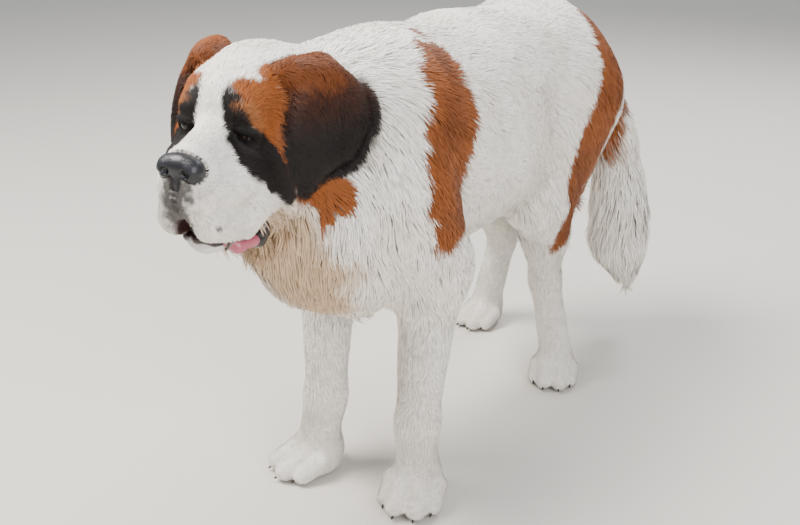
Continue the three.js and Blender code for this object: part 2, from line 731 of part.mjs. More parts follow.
const dog = new THREE.Group();
const allParts = clearOfEachOther({ ...bodyParts(), ...headParts() });
for (const [name, body] of Object.entries(allParts)) {
  const data = single(body).getMesh();
  const geometry = new THREE.BufferGeometry();
  geometry.setAttribute("position", new THREE.BufferAttribute(new Float32Array(data.vertProperties), 3));
  geometry.setIndex(new THREE.BufferAttribute(new Uint32Array(data.triVerts), 1));
  const mesh = new THREE.Mesh(geometry, new THREE.MeshStandardMaterial({ ...finishOf(name), metalness: 0 }));
  mesh.name = name;
  dog.add(mesh);
}
// The origin is the middle of the box at floor level.
const box = new THREE.Box3().setFromObject(dog);
const middle = box.getCenter(vec(0, 0, 0));
for (const mesh of dog.children) mesh.geometry.translate(-middle.x, -middle.y, -box.min.z);
export default dog;
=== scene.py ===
import math
import bmesh
import bpy
import numpy as np
from mathutils import Euler, Matrix, Vector, kdtree


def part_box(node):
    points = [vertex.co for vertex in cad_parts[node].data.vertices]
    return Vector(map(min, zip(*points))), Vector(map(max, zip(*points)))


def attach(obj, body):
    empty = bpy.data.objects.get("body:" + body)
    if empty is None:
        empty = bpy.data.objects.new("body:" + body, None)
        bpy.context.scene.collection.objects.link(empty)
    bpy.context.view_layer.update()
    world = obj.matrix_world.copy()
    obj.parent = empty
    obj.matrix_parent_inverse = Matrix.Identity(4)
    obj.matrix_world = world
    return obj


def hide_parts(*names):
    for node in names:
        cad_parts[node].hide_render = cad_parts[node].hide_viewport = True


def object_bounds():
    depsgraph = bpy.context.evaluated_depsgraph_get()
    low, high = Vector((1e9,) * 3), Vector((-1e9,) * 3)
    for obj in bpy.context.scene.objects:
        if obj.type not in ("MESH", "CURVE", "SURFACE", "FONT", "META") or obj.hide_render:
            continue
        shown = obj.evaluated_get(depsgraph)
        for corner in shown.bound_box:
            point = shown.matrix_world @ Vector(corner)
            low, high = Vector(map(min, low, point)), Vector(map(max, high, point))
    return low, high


# %% [markdown]
# # Saint Bernard, standing
# The real animal is a giant dog with a heavy head, hanging lips and a long coat, white with rust patches.
# The solids are loaded first. One skin is shaped over the same masses as the solids, a little inside
# them, and the coat is laid on it as solid tapered tufts. Eyes, nose, mouth and claws are pieces of their
# own.

# %% Load the solids
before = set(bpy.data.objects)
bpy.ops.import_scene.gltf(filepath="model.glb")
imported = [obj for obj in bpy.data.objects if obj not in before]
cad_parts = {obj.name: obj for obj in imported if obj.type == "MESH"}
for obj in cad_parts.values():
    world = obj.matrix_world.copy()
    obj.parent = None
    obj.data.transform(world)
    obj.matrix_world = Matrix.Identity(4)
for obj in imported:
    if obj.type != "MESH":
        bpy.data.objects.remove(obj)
CAD_BOX = [list(map(float, corner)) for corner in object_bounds()]
SEED = 20
rng = np.random.default_rng(SEED)
print("CAD box", CAD_BOX)

# %% [markdown]
# ## The frame of the head and of the body
# Lengths in this script are millimetres in the dog's own space: it faces -Y, its left is +X, and the
# floor is at zero. The dog looks a little to its left, so places on the head are given left, forward and
# up of the middle of its skull. The left eye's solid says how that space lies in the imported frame.

# %% Head frame and the way into the scene
def rotation(x, y, z):
    return np.array(Euler([math.radians(angle) for angle in (x, y, z)]).to_matrix())


HEAD_CENTRE = np.array([-26.0, -208.0, 707.0])
HEAD_TURN = rotation(0, 0, 11) @ rotation(0, 4.5, 0) @ rotation(2, 0, 0)
TRUNK_SHIFT = 10.0
EYE_PLACE = (44, 78, 8)
LID_PLACE = (44, 84, 8)


def head(left, forward, up):
    return HEAD_CENTRE + HEAD_TURN @ np.array([left, -forward, up], float)


def head_way(left, forward, up):
    return HEAD_TURN @ np.array([left, -forward, up], float)


def to_head(points):
    local = (points - HEAD_CENTRE) @ HEAD_TURN
    return np.stack([local[:, 0], -local[:, 1], local[:, 2]], 1)


def trunk(x, y, z):
    return np.array([TRUNK_SHIFT + x, y, z], float)


def eye_at(side):
    return head(EYE_PLACE[0] * side, *EYE_PLACE[1:])


eye_box = np.array(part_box("eye_left"), float)
SHIFT = eye_at(1) - eye_box.mean(0) * 1000


def to_scene(points):
    return (np.asarray(points, float) - SHIFT) / 1000


print("shift in mm", SHIFT.round(2))

# %% [markdown]
# ## Masses of flesh
# Under its coat a body is bone, muscle and fat, with no flat face and no sharp edge. It could be sculpted
# by hand, but a mass for each muscle keeps every size in plain numbers. A bone is a tapered capsule and a
# blob is an ellipsoid, and each has the width of its smooth blend into the rest. A carved mass is taken
# away.

# %% Masses
AROUND = 45


def bone(a, b, radius_a, radius_b, blend, squeeze=(1, 1, 1)):
    a, b = np.asarray(a, float), np.asarray(b, float)
    reach = np.linalg.norm(b - a) / 2 + max(radius_a, radius_b) * max(squeeze)
    return dict(kind="bone", a=a, b=b, radii=(radius_a, radius_b), squeeze=np.array(squeeze, float),
                blend=blend, centre=(a + b) / 2, reach=reach, carve=False)


def blob(centre, radii, blend, turn=None, carve=False):
    turn = np.eye(3) if turn is None else turn
    return dict(kind="blob", centre=np.asarray(centre, float), radii=np.array(radii, float), blend=blend,
                turn=turn, reach=max(radii), carve=carve)


def head_blob(at, radii, blend, carve=False, turn=None):
    return blob(head(*at), radii, blend, HEAD_TURN if turn is None else HEAD_TURN @ turn, carve)


def head_bone(a, b, radius_a, radius_b, blend):
    return bone(head(*a), head(*b), radius_a, radius_b, blend)


def own_distance(mass, points):
    """How far each point lies outside one mass, below zero inside it."""
    if mass["kind"] == "bone":
        line = mass["b"] - mass["a"]
        d = points - mass["a"]
        t = np.clip(d @ line / (line @ line), 0, 1)
        off = (d - t[:, None] * line) / mass["squeeze"]
        radius = mass["radii"][0] + (mass["radii"][1] - mass["radii"][0]) * t
        return (np.linalg.norm(off, axis=1) - radius) * mass["squeeze"].min()
    q = (points - mass["centre"]) @ mass["turn"] / mass["radii"]
    near = np.linalg.norm(q, axis=1)
    steep = np.maximum(np.linalg.norm(q / mass["radii"], axis=1), 1e-9)
    return near * (near - 1) / steep


def field(points, masses, far=60.0):
    """How far each point lies outside all the masses, blended in their order."""
    d = np.full(len(points), far)
    for mass in masses:
        gap = ((points - mass["centre"]) ** 2).sum(1)
        near = np.flatnonzero(gap < (mass["reach"] + mass["blend"] + AROUND) ** 2)
        if not len(near):
            continue
        own = own_distance(mass, points[near])
        own = -own if mass["carve"] else own
        here = d[near]
        k = mass["blend"]
        dip = np.maximum(k - np.abs(here - own), 0) ** 2 / (4 * k)
        d[near] = np.maximum(here, own) + dip if mass["carve"] else np.minimum(here, own) - dip
    return d


def slope(points, distance, step=1.2):
    """The way out of the form at each point."""
    rise = [distance(points + step * axis) - distance(points - step * axis) for axis in np.eye(3)]
    rise = np.stack(rise, 1) / (2 * step)
    return rise / np.maximum(np.linalg.norm(rise, axis=1, keepdims=True), 1e-6)


# %% [markdown]
# ## Legs, trunk, neck and tail
# A dog stands on its toes. The elbow lies behind the shoulder, the knee ahead of the hip and the hock
# well behind the knee, and on this one the right hind leg is set further back than the left. The four
# legs could be copies of one, but each stands in its own place, so two functions make them from the
# places of their joints.

# %% Legs, trunk and neck
LEGS = {
    "fore_left": dict(side=1, out=16, top=(100, -30, 560), mid=(108, 58, 425), low=(107, 20, 150),
                      paw=(108, 8, 0)),
    "fore_right": dict(side=-1, out=34, top=(-82, -35, 560), mid=(-92, 54, 425), low=(-80, 14, 150),
                       paw=(-106, -10, 0)),
    "hind_left": dict(side=1, out=20, top=(88, 600, 600), mid=(90, 498, 412), low=(86, 566, 212),
                      paw=(132, 534, 0)),
    "hind_right": dict(side=-1, out=14, top=(-66, 605, 600), mid=(-80, 560, 405), low=(-96, 728, 216),
                       paw=(-132, 698, 0)),
}
FORE_SCALE, HIND_SCALE = 1.0, 0.9
TAIL = [(22, 735, 688), (60, 782, 610), (108, 816, 490), (134, 832, 350), (142, 834, 235), (164, 848, 138)]


def paw_point(leg, across, forward, up):
    """A place on a foot that is turned outward by its own angle."""
    out = math.radians(leg["out"]) * leg["side"]
    ahead = np.array([math.sin(out), -math.cos(out), 0])
    left = np.array([math.cos(out), math.sin(out), 0])
    point = np.array(leg["paw"], float) + left * across + ahead * forward
    point[2] = up
    return point


def paw_masses(leg, scale):
    """The pad and heel of a foot, its two middle toes and its two outer toes."""
    def at(across, forward, up):
        return paw_point(leg, across * scale, forward * scale, up * scale)

    masses = [blob(at(0, -24, 40), (44 * scale, 44 * scale, 42 * scale), 16),
              blob(at(0, -12, 16), (46 * scale, 44 * scale, 22 * scale), 12)]
    for x in (-17, 17):
        masses.append(bone(at(x, 6, 42), at(x * 1.1, 50, 20), 23 * scale, 19 * scale, 9))
    for x in (-41, 41):
        masses.append(bone(at(x * 0.9, -10, 34), at(x, 26, 17), 21 * scale, 17 * scale, 9))
    return masses


def fore_leg(leg):
    top, elbow, wrist = (np.array(leg[name], float) for name in ("top", "mid", "low"))
    feather = elbow + (2 * leg["side"], 46, -46)
    feather_tip = elbow + (wrist - elbow) * 0.72 + (2 * leg["side"], 46, 0)
    return [bone(top, elbow, 70, 60, 45), bone(elbow, wrist, 56, 34, 40),
            bone(wrist, paw_point(leg, 0, -22, 62), 36, 37, 26), bone(feather, feather_tip, 26, 9, 30),
            *paw_masses(leg, FORE_SCALE)]


def hind_leg(leg):
    hip, stifle, hock = (np.array(leg[name], float) for name in ("top", "mid", "low"))
    calf = stifle + (hock - stifle) * 0.45 + np.array([0, 16, 0])
    return [bone(hip, stifle, 112, 66, 60, (0.78, 1.12, 1)),
            bone(hip + (2 * leg["side"], 60, -20), stifle + (0, 70, -10), 88, 46, 50),
            bone(hip + (0, 102, -60), stifle + (4 * leg["side"], 146, -22), 64, 30, 46),
            bone(stifle, calf, 60, 45, 40), bone(calf, hock, 45, 31, 36),
            bone(hock, paw_point(leg, 0, -24, 62), 31, 34, 24), *paw_masses(leg, HIND_SCALE)]


def leg_of(name):
    return fore_leg(LEGS[name]) if name.startswith("fore") else hind_leg(LEGS[name])


trunk_masses = [
    blob(trunk(0, 175, 592), (150, 295, 192), 60), blob(trunk(0, -48, 528), (120, 122, 150), 70),
    blob(trunk(0, 65, 692), (82, 155, 92), 60), blob(trunk(0, 60, 432), (87, 165, 72), 50),
    bone(trunk(0, 290, 674), trunk(0, 560, 672), 111, 110, 70, (1.06, 1, 1)),
    blob(trunk(0, 365, 530), (126, 205, 122), 70), blob(trunk(0, 598, 642), (138, 160, 132), 70),
    bone(trunk(88, -25, 600), trunk(96, 45, 440), 66, 58, 50),
    bone(trunk(-88, -25, 600), trunk(-96, 45, 440), 66, 58, 50),
    bone(trunk(0, -96, 500), trunk(0, -18, 392), 58, 34, 50),
    bone(trunk(0, 120, 398), trunk(0, 420, 440), 40, 34, 46),
]
neck_masses = [bone(trunk(-2, 20, 662), head(0, -50, -10), 121, 92, 70),
               bone(trunk(-4, -70, 560), head(0, -10, -95), 104, 62, 60),
               bone(head(0, -22, -152), trunk(-34, -134, 458), 40, 44, 56)]
TAIL_RADII = [50, 50, 53, 60, 70, 28]
tail_masses = [bone(TAIL[i], TAIL[i + 1], TAIL_RADII[i], TAIL_RADII[i + 1], 30) for i in range(5)]
leg_masses = [mass for name in LEGS for mass in leg_of(name)]
print("masses in trunk, neck, tail and legs",
      [len(masses) for masses in (trunk_masses, neck_masses, tail_masses, leg_masses)])

# %% [markdown]
# ## The head
# The breed has a broad domed skull, a steep stop, a deep muzzle with hanging flews, and drop ears. The
# masses come first, then the cuts: eye sockets, lid slits, the split of the upper lip and the room of the
# mouth. Cuts made by Booleans would leave hard rims, so they are carved from the same smooth field.

# %% Head masses
BOTH = (1, -1)
skull_masses = [
    head_blob((0, -16, 12), (85, 104, 86), 40), head_blob((0, 42, 36), (64, 52, 46), 30),
    *[head_blob((60 * s, 8, -36), (38, 62, 60), 30) for s in BOTH],
    *[head_blob((36 * s, 68, 30), (25, 25, 18), 16) for s in BOTH],
    head_bone((0, 55, -34), (0, 140, -46), 56, 47, 26), head_bone((0, 66, 0), (0, 166, -14), 27, 20, 18),
    *[head_bone((23 * s, 142, -92), (37 * s, 98, -108), 29, 28, 14) for s in BOTH],
    *[head_bone((15 * s, 164, -62), (24 * s, 148, -92), 19, 20, 10) for s in BOTH],
    *[head_bone((48 * s, 66, -30), (40 * s, 120, -50), 22, 22, 18) for s in BOTH],
    *[head_bone((46 * s, 88, -46), (46 * s, 80, -88), 26, 26, 20) for s in BOTH],
    *[head_bone((50 * s, 60, -78), (54 * s, 8, -92), 28, 34, 24) for s in BOTH],
]
jaw_masses = [head_bone((0, 120, -136), (0, 40, -128), 18, 30, 16),
              *[head_bone((16 * s, 118, -132), (30 * s, 34, -116), 15, 22, 12) for s in BOTH]]
tongue_masses = [head_bone((8, 50, -108), (26, 112, -126), 16, 12, 10),
                 head_bone((26, 112, -126), (42, 108, -138), 11, 9, 8),
                 head_bone((42, 108, -138), (50, 78, -140), 9, 8, 8)]
lip_masses = [*[head_bone((0, 139, -124), (20 * s, 129, -128), 6, 6, 6) for s in BOTH],
              *[head_bone((20 * s, 129, -128), (37 * s, 96, -136), 6, 7, 6) for s in BOTH],
              *[head_bone((37 * s, 96, -136), (47 * s, 64, -142), 7, 12, 8) for s in BOTH],
              *[head_bone((47 * s, 64, -142), (53 * s, 46, -120), 12, 10, 8) for s in BOTH]]
nose_form = [head_blob((0, 171, -12), (27, 16, 16), 8),
             *[head_blob((18 * s, 170, -17), (14, 17, 15), 6) for s in BOTH],
             head_blob((0, 177, -32), (7, 9, 16), 6)]
nostrils = [*[head_blob((14.5 * s, 191, -17), (7, 12, 7), 2, True) for s in BOTH],
            *[head_blob((26 * s, 182, -22), (9, 9, 2.6), 2, True) for s in BOTH]]
nose_masses = nose_form + nostrils


def ear_masses(s):
    """A drop ear: its raised root, the hanging flap, the rear fold, the tip and the front edge."""
    lean = rotation(-10, -8 * s, -20 * s)
    return [head_bone((62 * s, 14, 78), (78 * s, -52, 72), 18, 22, 20),
            head_blob((103 * s, -30, 10), (20, 78, 72), 24, turn=lean),
            head_bone((122 * s, -84, -2), (116 * s, -50, -30), 17, 19, 22),
            head_bone((102 * s, -10, -36), (94 * s, 16, -68), 22, 15, 22),
            head_blob((91 * s, 20, 0), (14, 34, 60), 16, turn=lean)]


FRONT_OPENING = head_blob((-2, 166, -116), (14, 34, 28), 8, True)
face_cuts = [
    *[head_blob((46 * s, 98, 9), (19, 14, 11), 12, True) for s in BOTH],
    *[head_blob((44 * s, 77, 8), (17, 15.5, 16), 5) for s in BOTH],
    *[head_blob((46 * s, 94, 6), (12.5, 15, 4.6), 2, True) for s in BOTH],
    *[head_bone((33 * s, 92, 18), (58 * s, 80, 14), 4, 5, 5) for s in BOTH],
    *[head_bone((34 * s, 91, -5), (56 * s, 81, -5), 3.5, 4, 4) for s in BOTH],
    FRONT_OPENING,
    head_blob((0, 188, -62), (2.5, 16, 26), 3, True),
]
ears = [ear_masses(s) for s in BOTH]
body_masses = [*trunk_masses, *neck_masses, *leg_masses, *tail_masses, *skull_masses, *face_cuts]
print(len(body_masses), "masses in the body")

# %% [markdown]
# ## Regions of the coat
# A dog's hair is short on the face and feet and long on the throat, belly, thighs and tail, and it lies
# back and down. This could be painted on by hand, but guides can be read and changed. Each is a line
# through the body with the coat that grows round it: the way the hair lies, its length, how deep the coat
# stands over the skin, the width of a tuft, its wave, and a longer growth on the rear side.

# %% Guides
LENGTH, DEPTH, WIDTH, WAVE, REAR = range(5)
EAR_COAT = (14, 3.5, 1.6, 0.6, 0)
TAIL_LENGTHS = (56, 70, 84, 92, 52)
TAIL_DEPTHS = (12, 16, 20, 24, 16)


def both(make):
    return [make(1), make(-1)]


def guide(region, a, b, radius, flow, length, depth, width, wave=0.0, rear=0.0):
    flow = np.asarray(flow, float)
    return dict(region=region, a=np.asarray(a, float), b=np.asarray(b, float), radius=radius,
                flow=flow / np.linalg.norm(flow), numbers=np.array([length, depth, width, wave, rear], float))


GUIDES = [
    guide("muzzle", head(0, 155, -5), head(0, 85, 18), 40, head_way(0, -1, 0.1), 8, 2.5, 1.3),
    *both(lambda s: guide("muzzle", head(35 * s, 140, -50), head(45 * s, 80, -60), 40,
                          head_way(0.2 * s, -0.8, -0.5), 9, 3, 1.4)),
    *both(lambda s: guide("muzzle", head(26 * s, 150, -90), head(40 * s, 92, -118), 34,
                          head_way(0, -0.45, -1), 11, 3, 1.5)),
    guide("crown", head(0, 62, 58), head(0, 5, 88), 55, head_way(0, -1, 0.35), 13, 4, 1.6),
    *both(lambda s: guide("muzzle", head(44 * s, 80, 6), head(46 * s, 74, 20), 24,
                          head_way(0.7 * s, -0.8, 0.1), 6, 2, 1.1)),
    guide("crown", head(0, -30, 70), head(0, -85, 50), 85, head_way(0, -1, -0.1), 24, 7, 2.0, 1),
    *both(lambda s: guide("cheek", head(75 * s, 35, 0), head(72 * s, 0, -70), 58,
                          head_way(0.1 * s, -0.8, -0.7), 17, 5, 1.7)),
    *both(lambda s: guide("ear", head(92 * s, -25, 70), head(108 * s, -10, -60), 40,
                          head_way(0, -0.35, -1), *EAR_COAT)),
    guide("neck", trunk(0, 10, 650), head(0, -70, 0), 120, (0, 0.6, -0.75), 50, 9, 2.2, 3),
    guide("throat", head(0, -5, -125), trunk(0, -115, 500), 95, (0, 0.12, -1), 62, 15, 2.3, 5),
    guide("throat", trunk(0, -65, 560), trunk(0, -25, 400), 118, (0, 0.2, -1), 54, 13, 2.4, 4),
    guide("flank", trunk(0, 130, 590), trunk(0, 540, 620), 155, (0, 0.8, -0.55), 36, 5.5, 2.1, 1.5),
    guide("back", trunk(0, 60, 745), trunk(0, 600, 745), 100, (0, 1, -0.1), 34, 5, 2.1, 1),
    guide("belly", trunk(0, 100, 400), trunk(0, 430, 440), 110, (0, 0.55, -0.85), 58, 10, 2.4, 3),
    *both(lambda s: guide("flank", trunk(92 * s, -20, 600), trunk(98 * s, 42, 450), 72,
                          (0, 0.35, -0.95), 32, 8, 2.2, 1.5)),
]
for name, leg in LEGS.items():
    fore = name.startswith("fore")
    region = "fore_legs" if fore else "hind_legs"
    mid, low = np.array(leg["mid"], float), np.array(leg["low"], float)
    ankle = paw_point(leg, 0, -22, 62)
    toes = paw_point(leg, 0, 45, 10) - paw_point(leg, 0, -30, 50)
    if fore:
        GUIDES.append(guide(region, mid, low, 46, (0, 0.12, -1), 12, 3, 1.6, 0.5, 62))
    else:
        GUIDES.append(guide("thighs", leg["top"], mid, 96, (0, 0.4, -0.95), 38, 8, 2.2, 2, 62))
        GUIDES.append(guide(region, mid + (0, 10, -70), low, 46, (0, 0.15, -1), 14, 3.5, 1.7, 0.5, 26))
    GUIDES.append(guide(region, low, ankle, 36, (0, 0.05, -1), 10, 2.4, 1.5, 0, 10))
    GUIDES.append(guide(region, paw_point(leg, 0, -25, 34), paw_point(leg, 0, 20, 26), 46, toes, 7, 1.8, 1.3))
for a, b, long, deep in zip(TAIL, TAIL[1:], TAIL_LENGTHS, TAIL_DEPTHS):
    GUIDES.append(guide("tail", a, b, 42, np.subtract(b, a), long, deep, 2.7, 4))
REGIONS = sorted({g["region"] for g in GUIDES})
print(len(GUIDES), "guides in", len(REGIONS), "regions")

# %% [markdown]
# ### From the guides to any point
# Between two guides the coat changes little by little, so each guide has its say by how near it is. The
# hair is shallow at the lids, and the ears keep their own short coat out to their edges.

# %% The coat at any point
FADE = 5.0
LID_START, LID_BAND = 15, 14
EAR_EDGE, EAR_BAND = 9, 4
BESIDE_EAR, BESIDE_BAND = 30, 22
EAR_FOLD = 2.5
MOUTH_GAP = 5


def guided(points):
    """Length, depth, width, wave and rear growth at each point, the way the hair lies, and the region."""
    total = np.zeros(len(points))
    numbers = np.zeros((len(points), 5))
    flow = np.zeros((len(points), 3))
    best, region = np.zeros(len(points)), np.zeros(len(points), int)
    for g in GUIDES:
        line = g["b"] - g["a"]
        t = np.clip((points - g["a"]) @ line / max(line @ line, 1e-6), 0, 1)
        away = np.linalg.norm(points - g["a"] - t[:, None] * line, axis=1) / g["radius"]
        weight = np.exp(-FADE * away)
        total += weight
        numbers += weight[:, None] * g["numbers"]
        flow += weight[:, None] * g["flow"]
        first = weight > best
        best[first], region[first] = weight[first], REGIONS.index(g["region"])
    numbers /= total[:, None]
    eye = np.min([np.linalg.norm(points - eye_at(s), axis=1) for s in BOTH], axis=0)
    numbers[:, DEPTH] *= np.clip((eye - LID_START) / LID_BAND, 0.1, 1)
    ear = np.min([field(points, own) for own in ears], axis=0)
    on_ear = np.clip((EAR_EDGE - ear) / EAR_BAND, 0, 1)[:, None]
    numbers += on_ear * (np.array(EAR_COAT) - numbers)
    beside_ear = np.clip((BESIDE_EAR - ear) / BESIDE_BAND, 0, 1)
    numbers[:, LENGTH] *= 1 - 0.5 * beside_ear * (1 - on_ear[:, 0])
    return numbers, flow, region


def skin_distance(points):
    """The outer form of the coat, with the room round jaw and tongue left open."""
    d = field(points, body_masses)
    for ear in ears:
        own = field(points, ear)
        dip = np.maximum(EAR_FOLD - np.abs(d - own), 0) ** 2 / (4 * EAR_FOLD)
        d = np.minimum(d, own) - dip
    mouth = MOUTH_GAP - np.minimum(field(points, jaw_masses), field(points, tongue_masses))
    return np.maximum(d, mouth)


middle_of_back = guided(trunk(0, 330, 780)[None])[0][0]
print("hair on the back", middle_of_back[LENGTH].round(1), "long and", middle_of_back[DEPTH].round(1), "deep")

# %% [markdown]
# ## Shaping a skin
# The masses are a formula, and Blender needs a mesh of it. Metaballs could give one, but not these
# blends. So balls along every mass are joined and remeshed to one closed surface, whose points are then
# drawn on to the smooth form and relaxed, so that creases stay clean.

# %% Mesh helpers
def arrays(mesh):
    points = np.empty(len(mesh.vertices) * 3)
    mesh.vertices.foreach_get("co", points)
    edges = np.empty(len(mesh.edges) * 2, int)
    mesh.edges.foreach_get("vertices", edges)
    return points.reshape(-1, 3), edges.reshape(-1, 2)


def relax(points, edges, factor, rounds):
    for _ in range(rounds):
        total, count = np.zeros_like(points), np.zeros(len(points))
        for a, b in ((0, 1), (1, 0)):
            np.add.at(total, edges[:, a], points[edges[:, b]])
            np.add.at(count, edges[:, a], 1)
        points = points + factor * (total / np.maximum(count, 1)[:, None] - points)
    return points


def draw_on(points, distance, rounds, inset=0.0, most=14.0):
    """Moves points on to the form, or inside it by the inset."""
    for _ in range(rounds):
        value = distance(points) + inset
        points = points - np.clip(value, -most, most)[:, None] * slope(points, distance)
    return points


def triangles(mesh):
    mesh.calc_loop_triangles()
    corners = np.empty(len(mesh.loop_triangles) * 3, int)
    mesh.loop_triangles.foreach_get("vertices", corners)
    return corners.reshape(-1, 3)


def mesh_of(name, points, faces):
    mesh = bpy.data.meshes.new(name)
    mesh.vertices.add(len(points))
    mesh.vertices.foreach_set("co", points.ravel())
    mesh.loops.add(faces.size)
    mesh.loops.foreach_set("vertex_index", faces.ravel())
    mesh.polygons.add(len(faces))
    mesh.polygons.foreach_set("loop_start", np.arange(len(faces)) * faces.shape[1])
    mesh.update(calc_edges=True)
    return mesh


def balls_along(mass, ball):
    if mass["kind"] == "blob":
        return [ball * mass["radii"] @ mass["turn"].T + mass["centre"]]
    count = int(np.linalg.norm(mass["b"] - mass["a"]) / max(4, 0.45 * min(mass["radii"]))) + 2
    (first, last), squeeze = mass["radii"], mass["squeeze"]
    return [ball * squeeze * (first + (last - first) * t) + mass["a"] + (mass["b"] - mass["a"]) * t
            for t in np.linspace(0, 1, count)]


def ball_mesh(name, masses, voxel):
    bpy.ops.mesh.primitive_ico_sphere_add(subdivisions=3, radius=1)
    pattern = bpy.context.active_object
    ball, _ = arrays(pattern.data)
    faces = triangles(pattern.data)
    bpy.data.objects.remove(pattern)
    balls = [points for mass in masses if not mass["carve"] for points in balls_along(mass, ball)]
    corners = faces[None] + len(ball) * np.arange(len(balls))[:, None, None]
    piece = bpy.data.objects.new(name, mesh_of(name, np.concatenate(balls), corners.reshape(-1, 3)))
    bpy.context.scene.collection.objects.link(piece)
    bpy.ops.object.select_all(action="DESELECT")
    bpy.context.view_layer.objects.active = piece
    piece.select_set(True)
    remesh = piece.modifiers.new("remesh", "REMESH")
    remesh.mode = "VOXEL"
    remesh.voxel_size = voxel
    bpy.ops.object.modifier_apply(modifier="remesh")
    return piece


def refine(piece, zones):
    """Splits the edges of the faces inside each zone: a centre and a radius."""
    bm = bmesh.new()
    bm.from_mesh(piece.data)
    for centre, radius in zones:
        centre = Vector(centre.tolist())
        chosen = {e for f in bm.faces if (f.calc_center_median() - centre).length < radius for e in f.edges}
        bmesh.ops.subdivide_edges(bm, edges=list(chosen), cuts=1, use_grid_fill=True)
    bmesh.ops.triangulate(bm, faces=[f for f in bm.faces if len(f.verts) > 4])
    bm.to_mesh(piece.data)
    bm.free()


def settle(piece, distance, inset=0.0, rounds=2, most=14.0):
    points, edges = arrays(piece.data)
    for _ in range(rounds - 1):
        points = draw_on(points, distance, 1, inset, most)
        points = relax(points, edges, 0.5, 3 - min(rounds // 2, 2))
    points = draw_on(points, distance, 1, inset, most)
    piece.data.vertices.foreach_set("co", points.ravel())
    piece.data.update()
    return points


# %% [markdown]
# ## The skin
# On the animal one skin covers trunk, head, legs, tail and ears, so here it is one piece and no seam
# shows. It lies inside the coat's outer form by the depth of the coat. The face and the ears are split
# finer before the last pass, because lids, lips and the rims of the ears are only a few millimetres
# thick.

# %% The skin
SKIN_VOXEL = 7.0
SOLE_CLEARANCE = 0.3
skin = ball_mesh("skin", [*body_masses, *ears[0], *ears[1]], SKIN_VOXEL)
points, edges = arrays(skin.data)
points = relax(draw_on(points, skin_distance, 1), edges, 0.5, 1)
skin.data.vertices.foreach_set("co", points.ravel())
refine(skin, [(head(0, 70, -20), 150.0)])
refine(skin, [(head(105, -40, 0), 88.0), (head(-105, -40, 0), 88.0)])
refine(skin, [(eye_at(1), 36.0), (eye_at(-1), 36.0), (head(0, 176, -90), 44.0)])
coat_depth = guided(arrays(skin.data)[0])[0][:, DEPTH]
skin_points = settle(skin, skin_distance, coat_depth)
skin_points[:, 2] = np.maximum(skin_points[:, 2], SHIFT[2] + SOLE_CLEARANCE)
skin.data.vertices.foreach_set("co", skin_points.ravel())
skin.data.update()
print("skin", len(skin_points), "points,", len(skin.data.polygons), "faces")

# %% [markdown]
# ## Jaw, tongue, lower lips and nose pad
# These have finishes of their own, so they are pieces of their own, made in the way of the skin over
# their own masses. Many small steps keep the thin edges of the nostrils and the lips.

# %% Jaw, tongue and nose pad
SMALL_ROUNDS, SMALL_STEP, SMALL_FAR = 14, 1.2, 30.0


def shaped(name, masses, voxel, inset=0.0):
    piece = ball_mesh(name, masses, voxel)
    settle(piece, lambda at: field(at, masses, SMALL_FAR), inset, SMALL_ROUNDS, SMALL_STEP)
    return piece


jaw = shaped("jaw", jaw_masses, voxel=3.6, inset=1.5)
tongue = shaped("tongue_flesh", tongue_masses, voxel=2.6)
lips = shaped("lower_lips", lip_masses, voxel=2.2)
nose = shaped("nose_leather", nose_masses, voxel=1.3)
print("jaw, tongue, lips and nose pad", [len(piece.data.polygons) for piece in (jaw, tongue, lips, nose)])

# %% [markdown]
# ## Markings
# The coat is white with a rust saddle patch and rump, a dark mask round the eyes, rust brows and cheeks,
# dark ears, a golden throat and grey under the nose. It could be painted as a picture, but then skin and
# hair might part, so one function gives the colour at any place. Each patch is a chain of capsules with a
# ragged edge.

# %% Colours
def linear(hexa):
    srgb = np.array([int(hexa[i:i + 2], 16) for i in (1, 3, 5)]) / 255
    return np.where(srgb <= 0.04045, srgb / 12.92, ((srgb + 0.055) / 1.055) ** 2.4)


WHITE, CREAM, GOLD = linear("#f6f1ea"), linear("#e4d3bb"), linear("#bd9259")
RUST, DEEP_RUST, BLACK = linear("#8c4c20"), linear("#532811"), linear("#17110f")
GREY, PINK, MOUTH, HORN = linear("#45403e"), linear("#b25a69"), linear("#4a1513"), linear("#2c2725")
EYE_RIM = linear("#120d0c")


def lattice(cells):
    x, y, z = (cells[:, i].astype(np.int64) for i in range(3))
    mixed = (x * 374761393 + y * 668265263 + z * 2147483647) & 0xFFFFFFFF
    mixed = ((mixed ^ (mixed >> 13)) * 1274126177) & 0xFFFFFFFF
    return ((mixed ^ (mixed >> 16)) & 0xFFFF) / 65535.0


def noise(points, size, seed=0):
    """Smooth noise from -1 to 1 with features of the given size."""
    q = points / size + seed * 17.31
    base = np.floor(q)
    t = q - base
    t = t * t * (3 - 2 * t)
    total = np.zeros(len(points))
    for corner in np.ndindex(2, 2, 2):
        weight = np.prod(np.where(np.array(corner), t, 1 - t), axis=1)
        total += weight * lattice(base + np.array(corner))
    return 2 * total - 1


def capsule(points, a, b, radius_a, radius_b):
    a, b = np.asarray(a, float), np.asarray(b, float)
    t = np.clip((points - a) @ (b - a) / max((b - a) @ (b - a), 1e-6), 0, 1)
    return np.linalg.norm(points - a - t[:, None] * (b - a), axis=1) - radius_a - (radius_b - radius_a) * t


def chain(points, stops):
    """Distance to a chain of (point, radius) stops."""
    pairs = zip(stops, stops[1:])
    return np.min([capsule(points, a, b, wide_a, wide_b) for (a, wide_a), (b, wide_b) in pairs], axis=0)


def mask(d, soft):
    """One well inside a patch, none well outside it, and smooth between."""
    t = np.clip(0.5 - d / (2 * soft), 0, 1)
    return t * t * (3 - 2 * t)


LID_SHAPE = (1.25, 1, 0.8)


